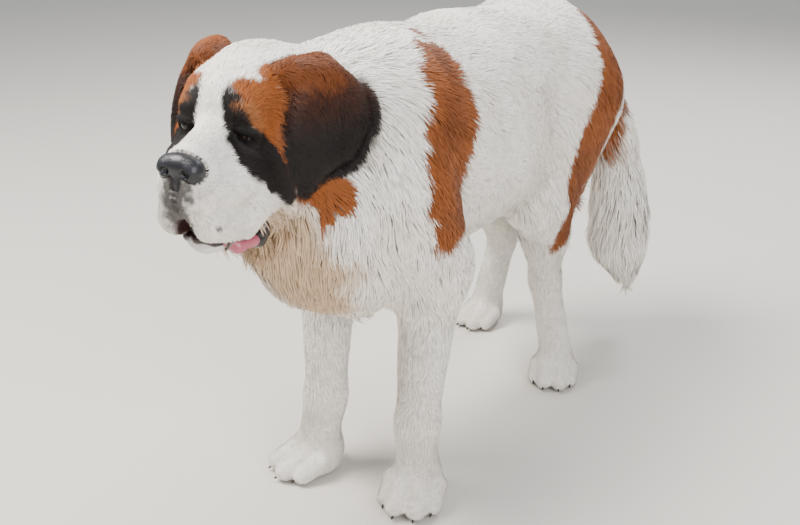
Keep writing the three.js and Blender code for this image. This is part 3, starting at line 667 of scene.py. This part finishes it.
def bare_parts(points):
    """Where hair stops: lips, mouth, soles, the rims of the eyes and the edge of the nose pad."""
    h = to_head(points)
    head_share = mask(np.linalg.norm(points - head(0, 0, 0), axis=1) - 230, 20)
    lids = [h - np.array([LID_PLACE[0] * s, *LID_PLACE[1:]]) for s in BOTH]
    ring = np.min([np.linalg.norm(off / np.array(LID_SHAPE), axis=1) for off in lids], axis=0)
    mouth = np.minimum(field(points, jaw_masses), field(points, tongue_masses))
    opening = own_distance(FRONT_OPENING, points)
    lip_edge = head_share * np.clip(mask(mouth - 8, 2.5) + mask(opening - 2, 2), 0, 1)
    nose_gap = field(points, nose_form)
    soles = mask(points[:, 2] - 5, 2)
    return dict(ring=ring, lip_edge=lip_edge, opening=opening, nose_gap=nose_gap, soles=soles,
                head=head_share)


# %% Places of the patches
GOLD_BIB = [((-5, -240, 580), 62), ((30, -170, 500), 66), ((40, -140, 420), 40)]
SADDLE = [((96, 54, 765), 39), ((112, 52, 735), 59), ((138, 46, 690), 69), ((150, 14, 640), 65),
          ((152, 0, 595), 63), ((155, 0, 562), 57), ((172, -24, 534), 31), ((178, -10, 494), 11)]
SADDLE_TOP = [((44, 46, 800), 9), ((58, 92, 792), 12)]
RUMP = [((20, 690, 740), 70), ((100, 640, 700), 80), ((160, 592, 610), 56), ((150, 560, 500), 62),
        ((135, 525, 400), 36), ((118, 506, 322), 12)]
BREECH = [((70, 745, 640), 75), ((95, 700, 500), 80), ((100, 640, 420), 56), ((100, 600, 360), 40)]
TAIL_ROOT = [(TAIL[0], 62), (TAIL[1], 60), ((84, 800, 560), 30)]
TAIL_FADE = [(TAIL[1], 5), (TAIL[2], 5)]
BROWN = [[((34, 78, 62), 13), ((60, 64, 42), 32), ((80, 56, 2), 32), ((89, 48, -52), 19)],
         [((84, 34, 56), 24), ((94, 38, -20), 16)],
         [((54, 40, 78), 20), ((72, 0, 74), 26), ((76, -50, 64), 28)],
         [((94, 10, -70), 26), ((116, -24, -88), 27), ((112, -16, -112), 16)]]
DARK_MASK = [((21, 90, 62), 8), ((27, 95, 46), 14), ((42, 98, 12), 20), ((60, 94, -10), 29),
             ((78, 72, -40), 23), ((88, 47, -78), 13)]
BROW = [((30, 94, 42), 3), ((48, 86, 40), 6), ((64, 80, 20), 5)]
UNDER_NOSE = [((0, 182, -34), 19), ((0, 172, -96), 19)]
LIP_SPOTS = [((52, 142, -44), 2.5), ((45, 163, -86), 5), ((-40, 150, -60), 3), ((38, 150, -70), 1.8)]
FACE_MIDDLE = -3.5
print("patches on the face", len(BROWN) + len(LIP_SPOTS) + 3)


# %% The colour at any point
def lay_body(lay, points):
    """Bib, saddle, rump, breeches and tail; the far side has the same patches with a little variation."""
    body = points - np.array([TRUNK_SHIFT, 0, 0])
    mirrored = np.stack([np.abs(body[:, 0]), body[:, 1], body[:, 2]], 1)
    rough = 6 * noise(points, 26, 1) + 4 * noise(points, 9, 2)
    lay(CREAM, 0.3 * (0.5 + 0.5 * noise(points, 60, 5)))
    lay(GOLD, 0.75 * mask(chain(points, GOLD_BIB) + 2 * rough, 26))
    saddle = np.minimum(chain(mirrored, SADDLE), chain(mirrored, SADDLE_TOP))
    saddle = np.where(body[:, 0] > 0, saddle, saddle + 10 * noise(points, 70, 6))
    lay(RUST, mask(saddle + rough, 5))
    cloud = np.clip(0.4 + noise(points, 38, 14) + 0.4 * noise(points, 15, 15), 0, 1)
    lay(DEEP_RUST, 0.5 * cloud * mask(saddle + rough + 6, 8))
    rump, breech = chain(mirrored, RUMP), chain(mirrored, BREECH)
    lay(RUST, mask(rump + rough, 6))
    lay(RUST, mask(breech + rough, 12))
    lay(GOLD * 0.8, 0.5 * mask(breech + rough + 26, 26) * np.clip(0.5 + noise(points, 42, 16), 0, 1))
    lay(DEEP_RUST, 0.4 * cloud * mask(np.minimum(rump, breech) + rough + 6, 8))
    tail = chain(points, TAIL_ROOT)
    lay(RUST, 0.95 * mask(tail + 1.4 * rough, 12))
    lay(CREAM, 0.7 * mask(np.abs(chain(points, TAIL_FADE) - 70), 40) * mask(tail - 20, 10))


def lay_head(lay, points, parts):
    """Rust cheeks, dark mask, brows, ears, grey lip and the bare rims, kept to the head, and the dark soles.
    """
    h = to_head(points)
    inside_head = parts["head"]
    face = np.stack([np.abs(h[:, 0] - FACE_MIDDLE), h[:, 1], h[:, 2]], 1)
    fine = 2.2 * noise(points, 7, 3) + 1.2 * noise(points, 3, 4)
    brown = np.min([chain(face, stops) for stops in BROWN], axis=0)
    lay(RUST, inside_head * mask(brown + fine, 4))
    lay(BLACK, inside_head * mask(chain(face, DARK_MASK) + fine, 3))
    lay(RUST * 0.8 + GOLD * 0.12, 0.9 * inside_head * mask(chain(face, BROW) + 0.7 * fine, 4))
    ear = np.min([field(points, own) for own in ears], axis=0)
    on_ear = mask(ear - 5 + 0.6 * fine, 3)
    lay(BLACK, on_ear)
    lay(RUST, on_ear * mask(64 - h[:, 2] + 3 * fine, 14))
    lay(DEEP_RUST, 0.55 * on_ear * mask(34 - h[:, 2] + 4 * fine, 40))
    lay(RUST, 0.85 * on_ear * mask(h[:, 0] + 60, 10) * mask(h[:, 1] - 12 + 2 * fine, 14))
    lay(GREY, 0.88 * inside_head * mask(chain(h, UNDER_NOSE) + 3 * fine, 7))
    for spot, size in LIP_SPOTS:
        lay(GREY, inside_head * mask(np.linalg.norm(h - np.array(spot), axis=1) - size + fine * 0.6, 2))
    lay(EYE_RIM, inside_head * mask(parts["ring"] - 16, 3))
    lay(EYE_RIM, inside_head * mask(parts["nose_gap"] - 0.8, 0.8))
    lay(MOUTH * 0.4, inside_head * mask(parts["opening"] - 6, 3))
    lay(MOUTH * 0.5, parts["lip_edge"])
    lay(HORN, parts["soles"])


def markings(points, parts=None):
    """The colour of hair and skin at each point, laid patch over patch from the white ground up."""
    parts = parts or bare_parts(points)
    colour = np.tile(WHITE, (len(points), 1))

    def lay(tone, amount):
        colour[:] = colour + np.clip(amount, 0, 1)[:, None] * (tone - colour)

    lay_body(lay, points)
    lay_head(lay, points, parts)
    return colour


# %% [markdown]
# ## Materials
# Hair is fine strands of keratin. One strand glints, but a coat of them is rough and soft to the eye, so
# hair and undercoat have a high roughness and little specular. Strands too fine for the picture are drawn
# about twice as coarse as they are. Colours come from an attribute on each mesh, so that nothing has to
# be painted by hand.

# %% Helpers for materials
def material(name, roughness, specular=0.5, colour=None, coat=0.0, ior=1.45):
    mat = bpy.data.materials.new(name)
    mat.use_nodes = True
    shader = mat.node_tree.nodes["Principled BSDF"]
    shader.inputs["Roughness"].default_value = roughness
    shader.inputs["Specular IOR Level"].default_value = specular
    shader.inputs["Coat Weight"].default_value = coat
    shader.inputs["Coat Roughness"].default_value = 0.08
    shader.inputs["IOR"].default_value = ior
    if colour is not None:
        shader.inputs["Base Color"].default_value = (*colour, 1)
    return mat, shader


def cells_of(millimetres):
    """The scale that gives a pattern cells of this real size."""
    return 1000 / millimetres


def node(mat, kind, **inputs):
    made = mat.node_tree.nodes.new(kind)
    for name, value in inputs.items():
        socket = made.inputs[name.replace("_", " ")]
        if isinstance(value, bpy.types.NodeSocket):
            mat.node_tree.links.new(value, socket)
        else:
            socket.default_value = value
    return made


def bump(mat, shader, height, strength, distance):
    made = node(mat, "ShaderNodeBump", Height=height, Strength=strength, Distance=distance)
    mat.node_tree.links.new(made.outputs["Normal"], shader.inputs["Normal"])


def paint(mesh, colours):
    layer = mesh.color_attributes.new("coat_colour", "FLOAT_COLOR", "POINT")
    solid = np.concatenate([colours, np.ones((len(colours), 1))], 1)
    layer.data.foreach_set("color", solid.ravel().astype(np.float32))


def coloured(mat, shader, grain=0.0, size=0.01):
    source = mat.node_tree.nodes.new("ShaderNodeAttribute")
    source.attribute_name = "coat_colour"
    out = source.outputs["Color"]
    if grain:
        place = mat.node_tree.nodes.new("ShaderNodeTexCoord").outputs["Object"]
        cloud = node(mat, "ShaderNodeTexNoise", Vector=place, Scale=1 / size, Detail=3.0)
        ramp = node(mat, "ShaderNodeMapRange", Value=cloud.outputs["Fac"], From_Min=0.25, From_Max=0.75,
                    To_Min=1 - grain, To_Max=1 + grain)
        mix = mat.node_tree.nodes.new("ShaderNodeVectorMath")
        mix.operation = "SCALE"
        mat.node_tree.links.new(out, mix.inputs[0])
        mat.node_tree.links.new(ramp.outputs["Result"], mix.inputs["Scale"])
        out = mix.outputs["Vector"]
    mat.node_tree.links.new(out, shader.inputs["Base Color"])


# Outer hair, with a soft sheen and faint changes of tone from one lock to the next.
fur, fur_shader = material("dog_hair", 0.62, 0.3)
coloured(fur, fur_shader, 0.1, 0.012)

# Dense undercoat close to the skin, duller than the outer hair and with a fine grain of strands.
under, under_shader = material("short_undercoat", 0.75, 0.2)
coloured(under, under_shader, 0.12, 0.006)
STRAND = 10 / 7
place = under.node_tree.nodes.new("ShaderNodeTexCoord").outputs["Object"]
strand = node(under, "ShaderNodeTexNoise", Vector=place, Scale=cells_of(STRAND), Detail=4.0)
bump(under, under_shader, strand.outputs["Fac"], 0.5, 0.001)
print("materials for the coat", fur.name, under.name)

# %% [markdown]
# ## The atlas for baking
# A baked picture needs each place of the skin to have its own place on a flat map. The skin is unwrapped
# over its own shape: every guide has a cell of the atlas, and a point goes to its nearest guide's cell by
# its angle round the guide and its place along it. A tuft is a small patch at the place of its root.

# %% Atlas
CELLS = math.ceil(math.sqrt(len(GUIDES)))
MARGIN = 0.04
PATCH = 0.003
SKIN_PATCH = 0.0004


def atlas_of(points):
    best = np.full(len(points), 1e9)
    uv = np.zeros((len(points), 2))
    for i, g in enumerate(GUIDES):
        line = g["b"] - g["a"]
        way = line / np.linalg.norm(line)
        across = np.cross(way, (1, 0, 0) if abs(way[0]) < 0.8 else (0, 1, 0))
        across /= np.linalg.norm(across)
        d = points - g["a"]
        t = d @ way
        held = np.clip(t, 0, np.linalg.norm(line))
        away = np.linalg.norm(d - held[:, None] * way, axis=1) / g["radius"]
        angle = np.arctan2(d @ np.cross(way, across), d @ across) / (2 * math.pi) + 0.5
        along = np.clip((t / np.linalg.norm(line) + 1) / 3, 0, 1)
        nearer = away < best
        best[nearer] = away[nearer]
        corner = np.array([i % CELLS, i // CELLS])
        cell = (corner + MARGIN + (1 - 2 * MARGIN) * np.stack([angle, along], 1)) / CELLS
        uv[nearer] = cell[nearer]
    return uv


def lay_out(piece):
    """Each face of the skin is a small patch at its own middle's place in the atlas."""
    mesh = piece.data
    layer = mesh.uv_layers.new(name="OFBake")
    points, _ = arrays(mesh)
    corners = np.empty(len(mesh.loops), int)
    mesh.loops.foreach_get("vertex_index", corners)
    starts = np.empty(len(mesh.polygons), int)
    mesh.polygons.foreach_get("loop_start", starts)
    sizes = np.empty(len(mesh.polygons), int)
    mesh.polygons.foreach_get("loop_total", sizes)
    centres = np.add.reduceat(points[corners], starts) / sizes[:, None]
    uv = np.repeat(atlas_of(centres), sizes, axis=0)
    spread = points[corners] - np.repeat(centres, sizes, axis=0)
    uv += spread[:, :2] * SKIN_PATCH
    layer.data.foreach_set("uv", uv.ravel())


print("atlas of", CELLS, "by", CELLS, "cells")


# %% [markdown]
# ## The coat
# Blender has hair curves for this, but a coat that must be solid is made of tufts: flat tapered blades of
# a few faces. Their roots are scattered over the skin, closer together where the hair is short and
# narrow, so that every part is covered several times over. Lips, soles, lids and nose stay bare.

# %% Scatter the roots
COAT_COVER = 5.2
LEG_COVER = 1.9
TUFT_SHARE = 0.55
FOOT_HEIGHT, FOOT_HAIR = 120, 14
LIP_HAIR, NOSE_HAIR, NOSE_BAND = 6, 4, 14
LID_RIM, LID_HAIR, LID_REACH = 13, 3, 30
LEG_REGIONS = [REGIONS.index("fore_legs"), REGIONS.index("hind_legs")]


def growth(points, normals):
    """The coat's numbers at each point, with its length and how many tufts stand on a square millimetre."""
    numbers, flow, region = guided(points)
    parts = bare_parts(points)
    ring = parts["ring"]
    bare = parts["lip_edge"] * 1.6 + parts["soles"] * 2 + mask(ring - LID_RIM, 2)
    bare = bare + mask(parts["nose_gap"] - 0.6, 0.6)
    length = numbers[:, LENGTH] + numbers[:, REAR] * np.clip(normals[:, 1] - 0.45, 0, 1) * 1.5
    length = np.where(points[:, 2] < FOOT_HEIGHT, np.minimum(length, FOOT_HAIR), length)
    length = np.where(parts["lip_edge"] > 0.05, np.minimum(length, LIP_HAIR), length)
    length = np.where(parts["nose_gap"] < NOSE_BAND, np.minimum(length, NOSE_HAIR), length)
    short = LID_HAIR + 0.35 * np.maximum(ring - LID_RIM, 0)
    length = np.where(ring < LID_REACH, np.minimum(length, short), length)
    cover = np.where(np.isin(region, LEG_REGIONS), LEG_COVER, COAT_COVER)
    density = cover * np.clip(1 - bare, 0, 1) / (TUFT_SHARE * numbers[:, WIDTH] * length)
    return numbers, flow, region, length, density, parts


def scatter(pieces, count):
    weights, tris_all, tri_normals = [], [], []
    for piece, points in pieces:
        tris = triangles(piece.data)
        a, b, c = points[tris[:, 0]], points[tris[:, 1]], points[tris[:, 2]]
        cross = np.cross(b - a, c - a)
        area = np.linalg.norm(cross, axis=1) / 2
        vertex = np.empty(len(piece.data.vertices) * 3)
        piece.data.vertices.foreach_get("normal", vertex)
        vertex = vertex.reshape(-1, 3)
        middle = (a + b + c) / 3
        density = growth(middle, vertex[tris[:, 0]])[4]
        weights.append(area * density)
        tris_all.append(np.stack([a, b, c], 1))
        tri_normals.append(vertex[tris])
    weights = np.concatenate(weights)
    corners, corner_normals = np.concatenate(tris_all), np.concatenate(tri_normals)
    total = weights.sum()
    chosen = rng.choice(len(weights), min(count, int(total)), p=weights / total)
    u, v = rng.random((2, len(chosen)))
    flip = u + v > 1
    u, v = np.where(flip, 1 - u, u), np.where(flip, 1 - v, v)
    share = np.stack([1 - u - v, u, v], 1)[:, :, None]
    roots = (corners[chosen] * share).sum(1)
    normals = (corner_normals[chosen] * share).sum(1)
    normals /= np.linalg.norm(normals, axis=1, keepdims=True)
    print("wanted", int(total), "tufts, laid", len(chosen))
    return roots, normals


MOST_TUFTS = 330000
jaw_points, _ = arrays(jaw.data)
roots, normals = scatter([(skin, skin_points), (jaw, jaw_points)], MOST_TUFTS)

# %% [markdown]
# ## How the tufts lie
# Hair lies along the body, with slight swirls, and hangs free where it is longest: behind the legs, under
# the belly and throat, and on the tail. Each tuft has a length and a depth of its own, because a coat of
# equal tufts looks combed.

# %% Length and lie
SWIRLS = ((0.5, 45, 8), (0.35, 14, 9))
HANGING = ("tail", "belly", "throat")
STANDING_SHARE, STANDING = 0.04, 1.35


def unit(vectors):
    return vectors / np.maximum(np.linalg.norm(vectors, axis=1, keepdims=True), 1e-6)


numbers, flow, region, length, _, root_parts = growth(roots, normals)
swirl = sum(amount * noise(roots, size, seed) for amount, size, seed in SWIRLS)
feathered = np.clip((length - numbers[:, LENGTH] - 8) / 30, 0, 1)[:, None]
flow = unit(flow) + feathered * np.array([0, 0.45, 0])
hanging = np.isin(region, [REGIONS.index(name) for name in HANGING])[:, None] * (numbers[:, [REAR]] < 9)
free = np.clip(feathered + 0.6 * hanging, 0, 1)
lie = unit(flow - (flow * normals).sum(1, keepdims=True) * normals * (1 - 0.6 * free))
beside = np.cross(normals, lie)
lie = unit(lie + beside * swirl[:, None])
beside = unit(np.cross(normals, lie))
length = length * rng.uniform(0.75, 1.2, len(roots))
depth = numbers[:, DEPTH] * rng.uniform(0.75, 1.15, len(roots))
depth = np.where(rng.random(len(roots)) < STANDING_SHARE, depth * STANDING, depth)
print("tufts from", length.min().round(1), "to", length.max().round(1), "mm long")

# %% [markdown]
# ## Tips and locks
# Long hair clings together in locks. Some tufts lead, and the tip of every other one leans to its nearest
# leader, more so where the hair is long. Tips are drawn toward the coat's outer form and kept within a few
# millimetres of the box round the solids, and off the floor.

# %% Tips and locks
PER_LOCK, MOST_GATHER = 14, 14
LOCK_START, LOCK_BAND, MOST_LEAN = 14, 60, 0.62
tips = roots + lie * np.sqrt(np.maximum(length ** 2 - depth ** 2, 4))[:, None]
tips += beside * (rng.normal(0, 0.09, len(roots)) * length)[:, None]
outer = skin_distance(tips)
held = 0.6 * length * (1 - free[:, 0])
tips += normals * np.clip(-outer - numbers[:, DEPTH] + depth, -held, 0.9 * numbers[:, DEPTH] + 2)[:, None]

leaders = rng.choice(len(roots), len(roots) // PER_LOCK, replace=False)
tree = kdtree.KDTree(len(leaders))
for i, leader in enumerate(leaders):
    tree.insert(roots[leader], i)
tree.balance()
nearest = leaders[np.array([tree.find(root)[1] for root in roots])]
lean = np.clip((length - LOCK_START) / LOCK_BAND, 0, MOST_LEAN) * rng.uniform(0.5, 1.1, len(roots))
gather = tips[nearest] + 0.25 * (roots - roots[nearest]) - tips
gather *= np.minimum(1, MOST_GATHER / np.maximum(np.linalg.norm(gather, axis=1), 1e-6))[:, None]
tips += gather * lean[:, None]
low, high = np.array(CAD_BOX) * 1000 + SHIFT
tips = np.clip(tips, low + (-6, -6, 1.5), high + 6)
base_colour = markings(roots, root_parts)
tone = rng.normal(1, 0.07, len(roots)) + 0.05 * noise(roots, 12, 11)
print("tufts in each region", {name: int((region == i).sum()) for i, name in enumerate(REGIONS)})


# %% [markdown]
# ## The tufts as meshes
# Hundreds of thousands of objects would choke Blender, so the tufts of a region are one mesh, or a few where
# they are many, filled from arrays at once. A blade's colour is painted darker at its root, painted shade for
# the gaps between hairs, and a little lighter at its tip, painted light. Its normals are taken from the skin,
# so that the coat shades as one soft body and not as loose leaves.

# %% Build the coat pieces
LONG_BLADE = [(0.0, 0.7), (0.34, 1.0), (0.7, 0.72)]
SHORT_BLADE = [(0.0, 0.9), (0.5, 0.85)]
RISE = 0.42
SINK = 1.2
ROLL = 0.14
# Painted shade and light: a blade's colour is darker toward its root, for the shade between hairs, and a
# little lighter at its tip.
ROOT_PAINTED_SHADE, PAINTED_SHADE_FADE, TIP_PAINTED_LIGHT = 0.84, 0.2, 1.06


def coat(name, pick):
    """One joined mesh of blades; a long blade has three sections and a short one has two."""
    a, tip, n, side = roots[pick], tips[pick], normals[pick], beside[pick]
    is_long = numbers[pick, WAVE].mean() > 0.4 or length[pick].mean() > 16
    stations = LONG_BLADE if is_long else SHORT_BLADE
    span = tip - a
    rise = numbers[pick, DEPTH] * RISE
    wave = numbers[pick, WAVE] * rng.normal(0, 0.5, len(pick))
    width = numbers[pick, WIDTH] * rng.uniform(0.7, 1.25, len(pick)) * 0.5
    roll = rng.normal(0, ROLL, len(pick))
    side = unit(side * np.cos(roll)[:, None] + n * np.sin(roll)[:, None])
    columns, painted_shade_along_blade = [], []
    for t, share in stations:
        bend = math.sin(math.pi * t)
        lift = rise * bend - (SINK if t == 0 else 0)
        centre = a + span * t + n * lift[:, None] + side * (wave * bend)[:, None]
        columns += [centre - side * (width * share)[:, None], centre + side * (width * share)[:, None]]
        painted_shade_along_blade += [ROOT_PAINTED_SHADE + PAINTED_SHADE_FADE * t] * 2
    columns.append(tip)
    painted_shade_along_blade.append(TIP_PAINTED_LIGHT)
    each = len(columns)
    points = np.stack(columns, 1)
    # The blade's colour carries painted shade at its root and painted light at its tip.
    colours = base_colour[pick][:, None, :] * np.array(painted_shade_along_blade)[None, :, None] * tone[pick][:, None, None]
    quads = [(2 * k + 1, 2 * k, 2 * k + 2, 2 * k + 3) for k in range(len(stations) - 1)]
    corners = [*[c for quad in quads for c in quad], each - 2, each - 3, each - 1]
    starts = np.array([4 * k for k in range(len(quads) + 1)])
    sizes = np.array([4] * len(quads) + [3])
    count = len(pick)
    mesh = bpy.data.meshes.new(name)
    mesh.vertices.add(count * each)
    mesh.vertices.foreach_set("co", to_scene(points.reshape(-1, 3)).ravel())
    mesh.loops.add(count * len(corners))
    mesh.loops.foreach_set("vertex_index", (np.array(corners) + each * np.arange(count)[:, None]).ravel())
    mesh.polygons.add(count * len(sizes))
    mesh.polygons.foreach_set("loop_start", (starts + len(corners) * np.arange(count)[:, None]).ravel())
    mesh.polygons.foreach_set("loop_total", np.tile(sizes, count))
    mesh.update(calc_edges=True)
    mesh.polygons.foreach_set("use_smooth", np.ones(count * len(sizes), bool))
    across = np.linspace(-1, 1, 2)[np.arange(each) % 2] * (np.arange(each) < each - 1)
    soft = n[:, None, :] + 0.35 * across[None, :, None] * side[:, None, :] + 0.15 * unit(span)[:, None, :]
    mesh.normals_split_custom_set_from_vertices(unit(soft.reshape(-1, 3)).astype(np.float32))
    paint(mesh, np.clip(colours.reshape(-1, 3), 0, 1))
    patch = np.array([[(i % 2) * PATCH, (i // 2) * PATCH / 3] for i in range(each)])[corners]
    uv = atlas_of(a)[:, None, :] + patch[None]
    mesh.uv_layers.new(name="OFBake").data.foreach_set("uv", uv.reshape(-1, 2).ravel())
    mesh.materials.append(fur)
    piece = bpy.data.objects.new(name, mesh)
    bpy.context.scene.collection.objects.link(piece)
    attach(piece, "root")
    return count * (2 * len(quads) + 1)


LIMIT = 36000
drawn = 0
for i, name in enumerate(REGIONS):
    members = np.flatnonzero(region == i)
    for part, pick in enumerate(np.array_split(members, max(1, math.ceil(len(members) / LIMIT)))):
        drawn += coat(f"coat_{name}_{part + 1}", pick)
print("coat triangles", drawn)

# %% [markdown]
# ## Finishing the skin and the mouth
# Each shaped piece goes from millimetres to its place in the scene, gets its finish and rides on the
# body. The skin takes the place of every solid of flesh.

# %% Finish the skin, jaw, tongue and nose pad
UNDER_PAINTED_SHADE, JAW_PAINTED_SHADE = 0.9, 0.8


def finish_piece(piece, mat, colours=None, nodes=()):
    points, _ = arrays(piece.data)
    if colours is not None:
        paint(piece.data, colours)
    piece.data.vertices.foreach_set("co", to_scene(points).ravel())
    piece.data.update()
    piece.data.materials.clear()
    piece.data.materials.append(mat)
    piece.data.polygons.foreach_set("use_smooth", np.ones(len(piece.data.polygons), bool))
    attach(piece, "root")
    if nodes:
        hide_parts(*nodes)


FLESH = ["head", "neck", "torso", "tail", "ear_left", "ear_right"]
LEG_PARTS = ("foreleg", "forepaw", "thigh", "shank", "hindpaw")
FLESH += [f"{part}_{side}" for part in LEG_PARTS for side in ("left", "right")]
lay_out(skin)
# Painted shade: the skin's colours are darkened a little, for the shade that falls under the coat.
finish_piece(skin, under, np.clip(markings(skin_points) * UNDER_PAINTED_SHADE, 0, 1), nodes=FLESH)
# Painted shade: the jaw is coloured a darker white, for the shade under its coat.
jaw_colour = np.tile(WHITE * JAW_PAINTED_SHADE, (len(jaw_points), 1))
finish_piece(jaw, under, jaw_colour, nodes=["lower_jaw"])

# Bare dark lip, wet with saliva, so it is smooth with a thin clear coat and redder toward the mouth.
flesh, flesh_shader = material("moist_dark_lip", 0.3, 0.5, coat=0.4)
coloured(flesh, flesh_shader)
lip_points, _ = arrays(lips.data)
redder = mask(to_head(lip_points)[:, 2] + 128 + 3 * noise(lip_points, 9, 13), 8)
finish_piece(lips, flesh, BLACK + 0.35 * (1 - redder)[:, None] * (MOUTH - BLACK))

# Moist tongue: light goes a few millimetres in, and small bumps break up its shine.
TONGUE_GRAIN = 10 / 9
wet, wet_shader = material("moist_tongue", 0.32, 0.5, PINK, 0.35)
wet_shader.inputs["Subsurface Weight"].default_value = 0.2
wet_shader.inputs["Subsurface Radius"].default_value = (0.004, 0.0012, 0.0008)
place = wet.node_tree.nodes.new("ShaderNodeTexCoord").outputs["Object"]
grain = node(wet, "ShaderNodeTexNoise", Vector=place, Scale=cells_of(TONGUE_GRAIN), Detail=3.0)
bump(wet, wet_shader, grain.outputs["Fac"], 0.35, 0.0006)
finish_piece(tongue, wet, nodes=["tongue"])

# Nose leather: bare thick skin with a pebbled grain, drawn a little coarser than life.
PEBBLE = 10 / 6.2
leather, leather_shader = material("moist_nose_leather", 0.38, 0.5, linear("#14141a"), 0.25)
place = leather.node_tree.nodes.new("ShaderNodeTexCoord").outputs["Object"]
pebble = node(leather, "ShaderNodeTexVoronoi", Vector=place, Scale=cells_of(PEBBLE))
bump(leather, leather_shader, pebble.outputs["Distance"], 0.6, 0.0006)
finish_piece(nose, leather, nodes=["nose_pad"])
print("nodes under the skin", len(FLESH))

# %% [markdown]
# ## Eyes
# A dog's eye shows little white: a dark brown iris fills the slit between the lids, round a black pupil.
# A ball as large as the real one sits in each socket. Its finish is the wet cornea, smooth enough for one
# clear glint.

# %% Eyes
EYE_RADIUS = 12.6
IRIS_ANGLE, PUPIL_ANGLE = 46, 18
# Painted shade: the white of the eye is dark brown, standing in for the shade of the heavy lids.
EYE_WHITE_IN_PAINTED_SHADE, IRIS, PUPIL = linear("#33241e"), linear("#2c170b"), linear("#050404")
GAZE_OUT, GAZE_DOWN = 0.28, -0.06
# Cornea: clear and wet, so it is smooth under a thin clear coat.
glassy, glassy_shader = material("wet_eye", 0.07, 0.35, coat=0.35, ior=1.376)
coloured(glassy, glassy_shader)
for name, s in (("left", 1), ("right", -1)):
    bpy.ops.mesh.primitive_uv_sphere_add(segments=64, ring_count=48, radius=EYE_RADIUS, location=(0, 0, 0))
    ball = bpy.context.active_object
    ball.name = f"eyeball_{name}"
    points, _ = arrays(ball.data)
    look = unit(head_way(GAZE_OUT * s, 1, GAZE_DOWN)[None])[0]
    off = np.degrees(np.arccos(np.clip(unit(points) @ look, -1, 1)))
    iris = mask(off - IRIS_ANGLE, 2)
    pupil = mask(off - PUPIL_ANGLE, 1.5)
    colours = EYE_WHITE_IN_PAINTED_SHADE + iris[:, None] * (IRIS - EYE_WHITE_IN_PAINTED_SHADE)
    colours = colours * (1 - 0.7 * mask(np.abs(off - IRIS_ANGLE) - 2, 3))[:, None]
    colours = colours + pupil[:, None] * (PUPIL - colours)
    ball.data.vertices.foreach_set("co", (points + eye_at(s)).ravel())
    finish_piece(ball, glassy, colours, nodes=[f"eye_{name}"])
print("eyes", 2 * EYE_RADIUS, "mm across")

# %% [markdown]
# ## Claws
# Four dark horn claws look out of the hair on each foot, the middle two further ahead. Blunt cones are
# enough, as only their ends show.

# %% Claws
CLAWS = ((-42, 38), (-18, 62), (18, 62), (42, 38))
CLAW_HEIGHT, CLAW_TILT = 13, 118
CLAW_ROOT, CLAW_TIP, CLAW_LENGTH = 4.6, 1.3, 20
# Horn: hard keratin worn to a dull shine.
horn, _ = material("claw_horn", 0.4, 0.5, HORN)
for name, leg in LEGS.items():
    scale = FORE_SCALE if name.startswith("fore") else HIND_SCALE
    outward = Matrix.Rotation(math.radians(leg["out"] * leg["side"]), 4, "Z")
    turn = outward @ Matrix.Rotation(math.radians(CLAW_TILT), 4, "X")
    parts = []
    for across, forward in CLAWS:
        place = paw_point(leg, across * scale, forward * scale, CLAW_HEIGHT)
        bpy.ops.mesh.primitive_cone_add(vertices=16, radius1=CLAW_ROOT, radius2=CLAW_TIP, depth=CLAW_LENGTH)
        cone = bpy.context.active_object
        bpy.context.view_layer.update()
        cone.data.transform(Matrix.Translation(place.tolist()) @ turn)
        parts.append(cone)
    bpy.ops.object.select_all(action="DESELECT")
    for cone in parts:
        cone.select_set(True)
    bpy.context.view_layer.objects.active = parts[0]
    bpy.ops.object.join()
    claws = bpy.context.active_object
    claws.name = f"claws_{name}"
    finish_piece(claws, horn)
print("claws on each foot", len(CLAWS))

# %% [markdown]
# ## Camera, floor and light
# The camera stands ahead of the dog's left shoulder and looks down on it, as the photographer did. The
# floor is plain and pale. A large lamp high in front gives the form, a weaker one opens the shadows, and
# one behind draws the outline of the back.

# %% Stage
CAMERA_PLACE = (866.6, -1226.2, 1048.9)
CAMERA_TURN = (67.5, 0, 32.5)
SKY, SKY_STRENGTH = (0.86, 0.92, 1, 1), 0.68
camera_data = bpy.data.cameras.new("camera")
camera_data.lens = 45
camera_data.sensor_width = 36
camera = bpy.data.objects.new("camera", camera_data)
camera.location = to_scene(CAMERA_PLACE)
camera.rotation_euler = [math.radians(angle) for angle in CAMERA_TURN]
bpy.context.scene.collection.objects.link(camera)
bpy.context.scene.camera = camera

bpy.ops.mesh.primitive_plane_add(size=40)
floor = bpy.context.active_object
floor.name = "floor"
# Matt painted floor.
pale, _ = material("pale_floor", 0.9, 0.2, linear("#cfcac2"))
floor.data.materials.append(pale)

world = bpy.data.worlds.new("studio")
bpy.context.scene.world = world
world.use_nodes = True
world.node_tree.nodes["Background"].inputs["Color"].default_value = SKY
world.node_tree.nodes["Background"].inputs["Strength"].default_value = SKY_STRENGTH


def lamp(name, place, aim, size, power, colour=(1, 1, 1)):
    data = bpy.data.lights.new(name, "AREA")
    data.size = size
    data.energy = power
    data.color = colour
    made = bpy.data.objects.new(name, data)
    made.location = place
    made.rotation_euler = (Vector(aim) - Vector(place)).to_track_quat("-Z", "Y").to_euler()
    bpy.context.scene.collection.objects.link(made)


lamp("key", (-1.4, -1.2, 3.4), (0, 0, 0.4), 1.8, 290, (1, 0.96, 0.9))
lamp("fill", (2.8, -1.6, 2.0), (0, 0, 0.5), 2.2, 105)
lamp("rim", (0.2, 3.0, 3.0), (0, 0, 0.6), 1.6, 120)
print("camera at", list(camera.location))
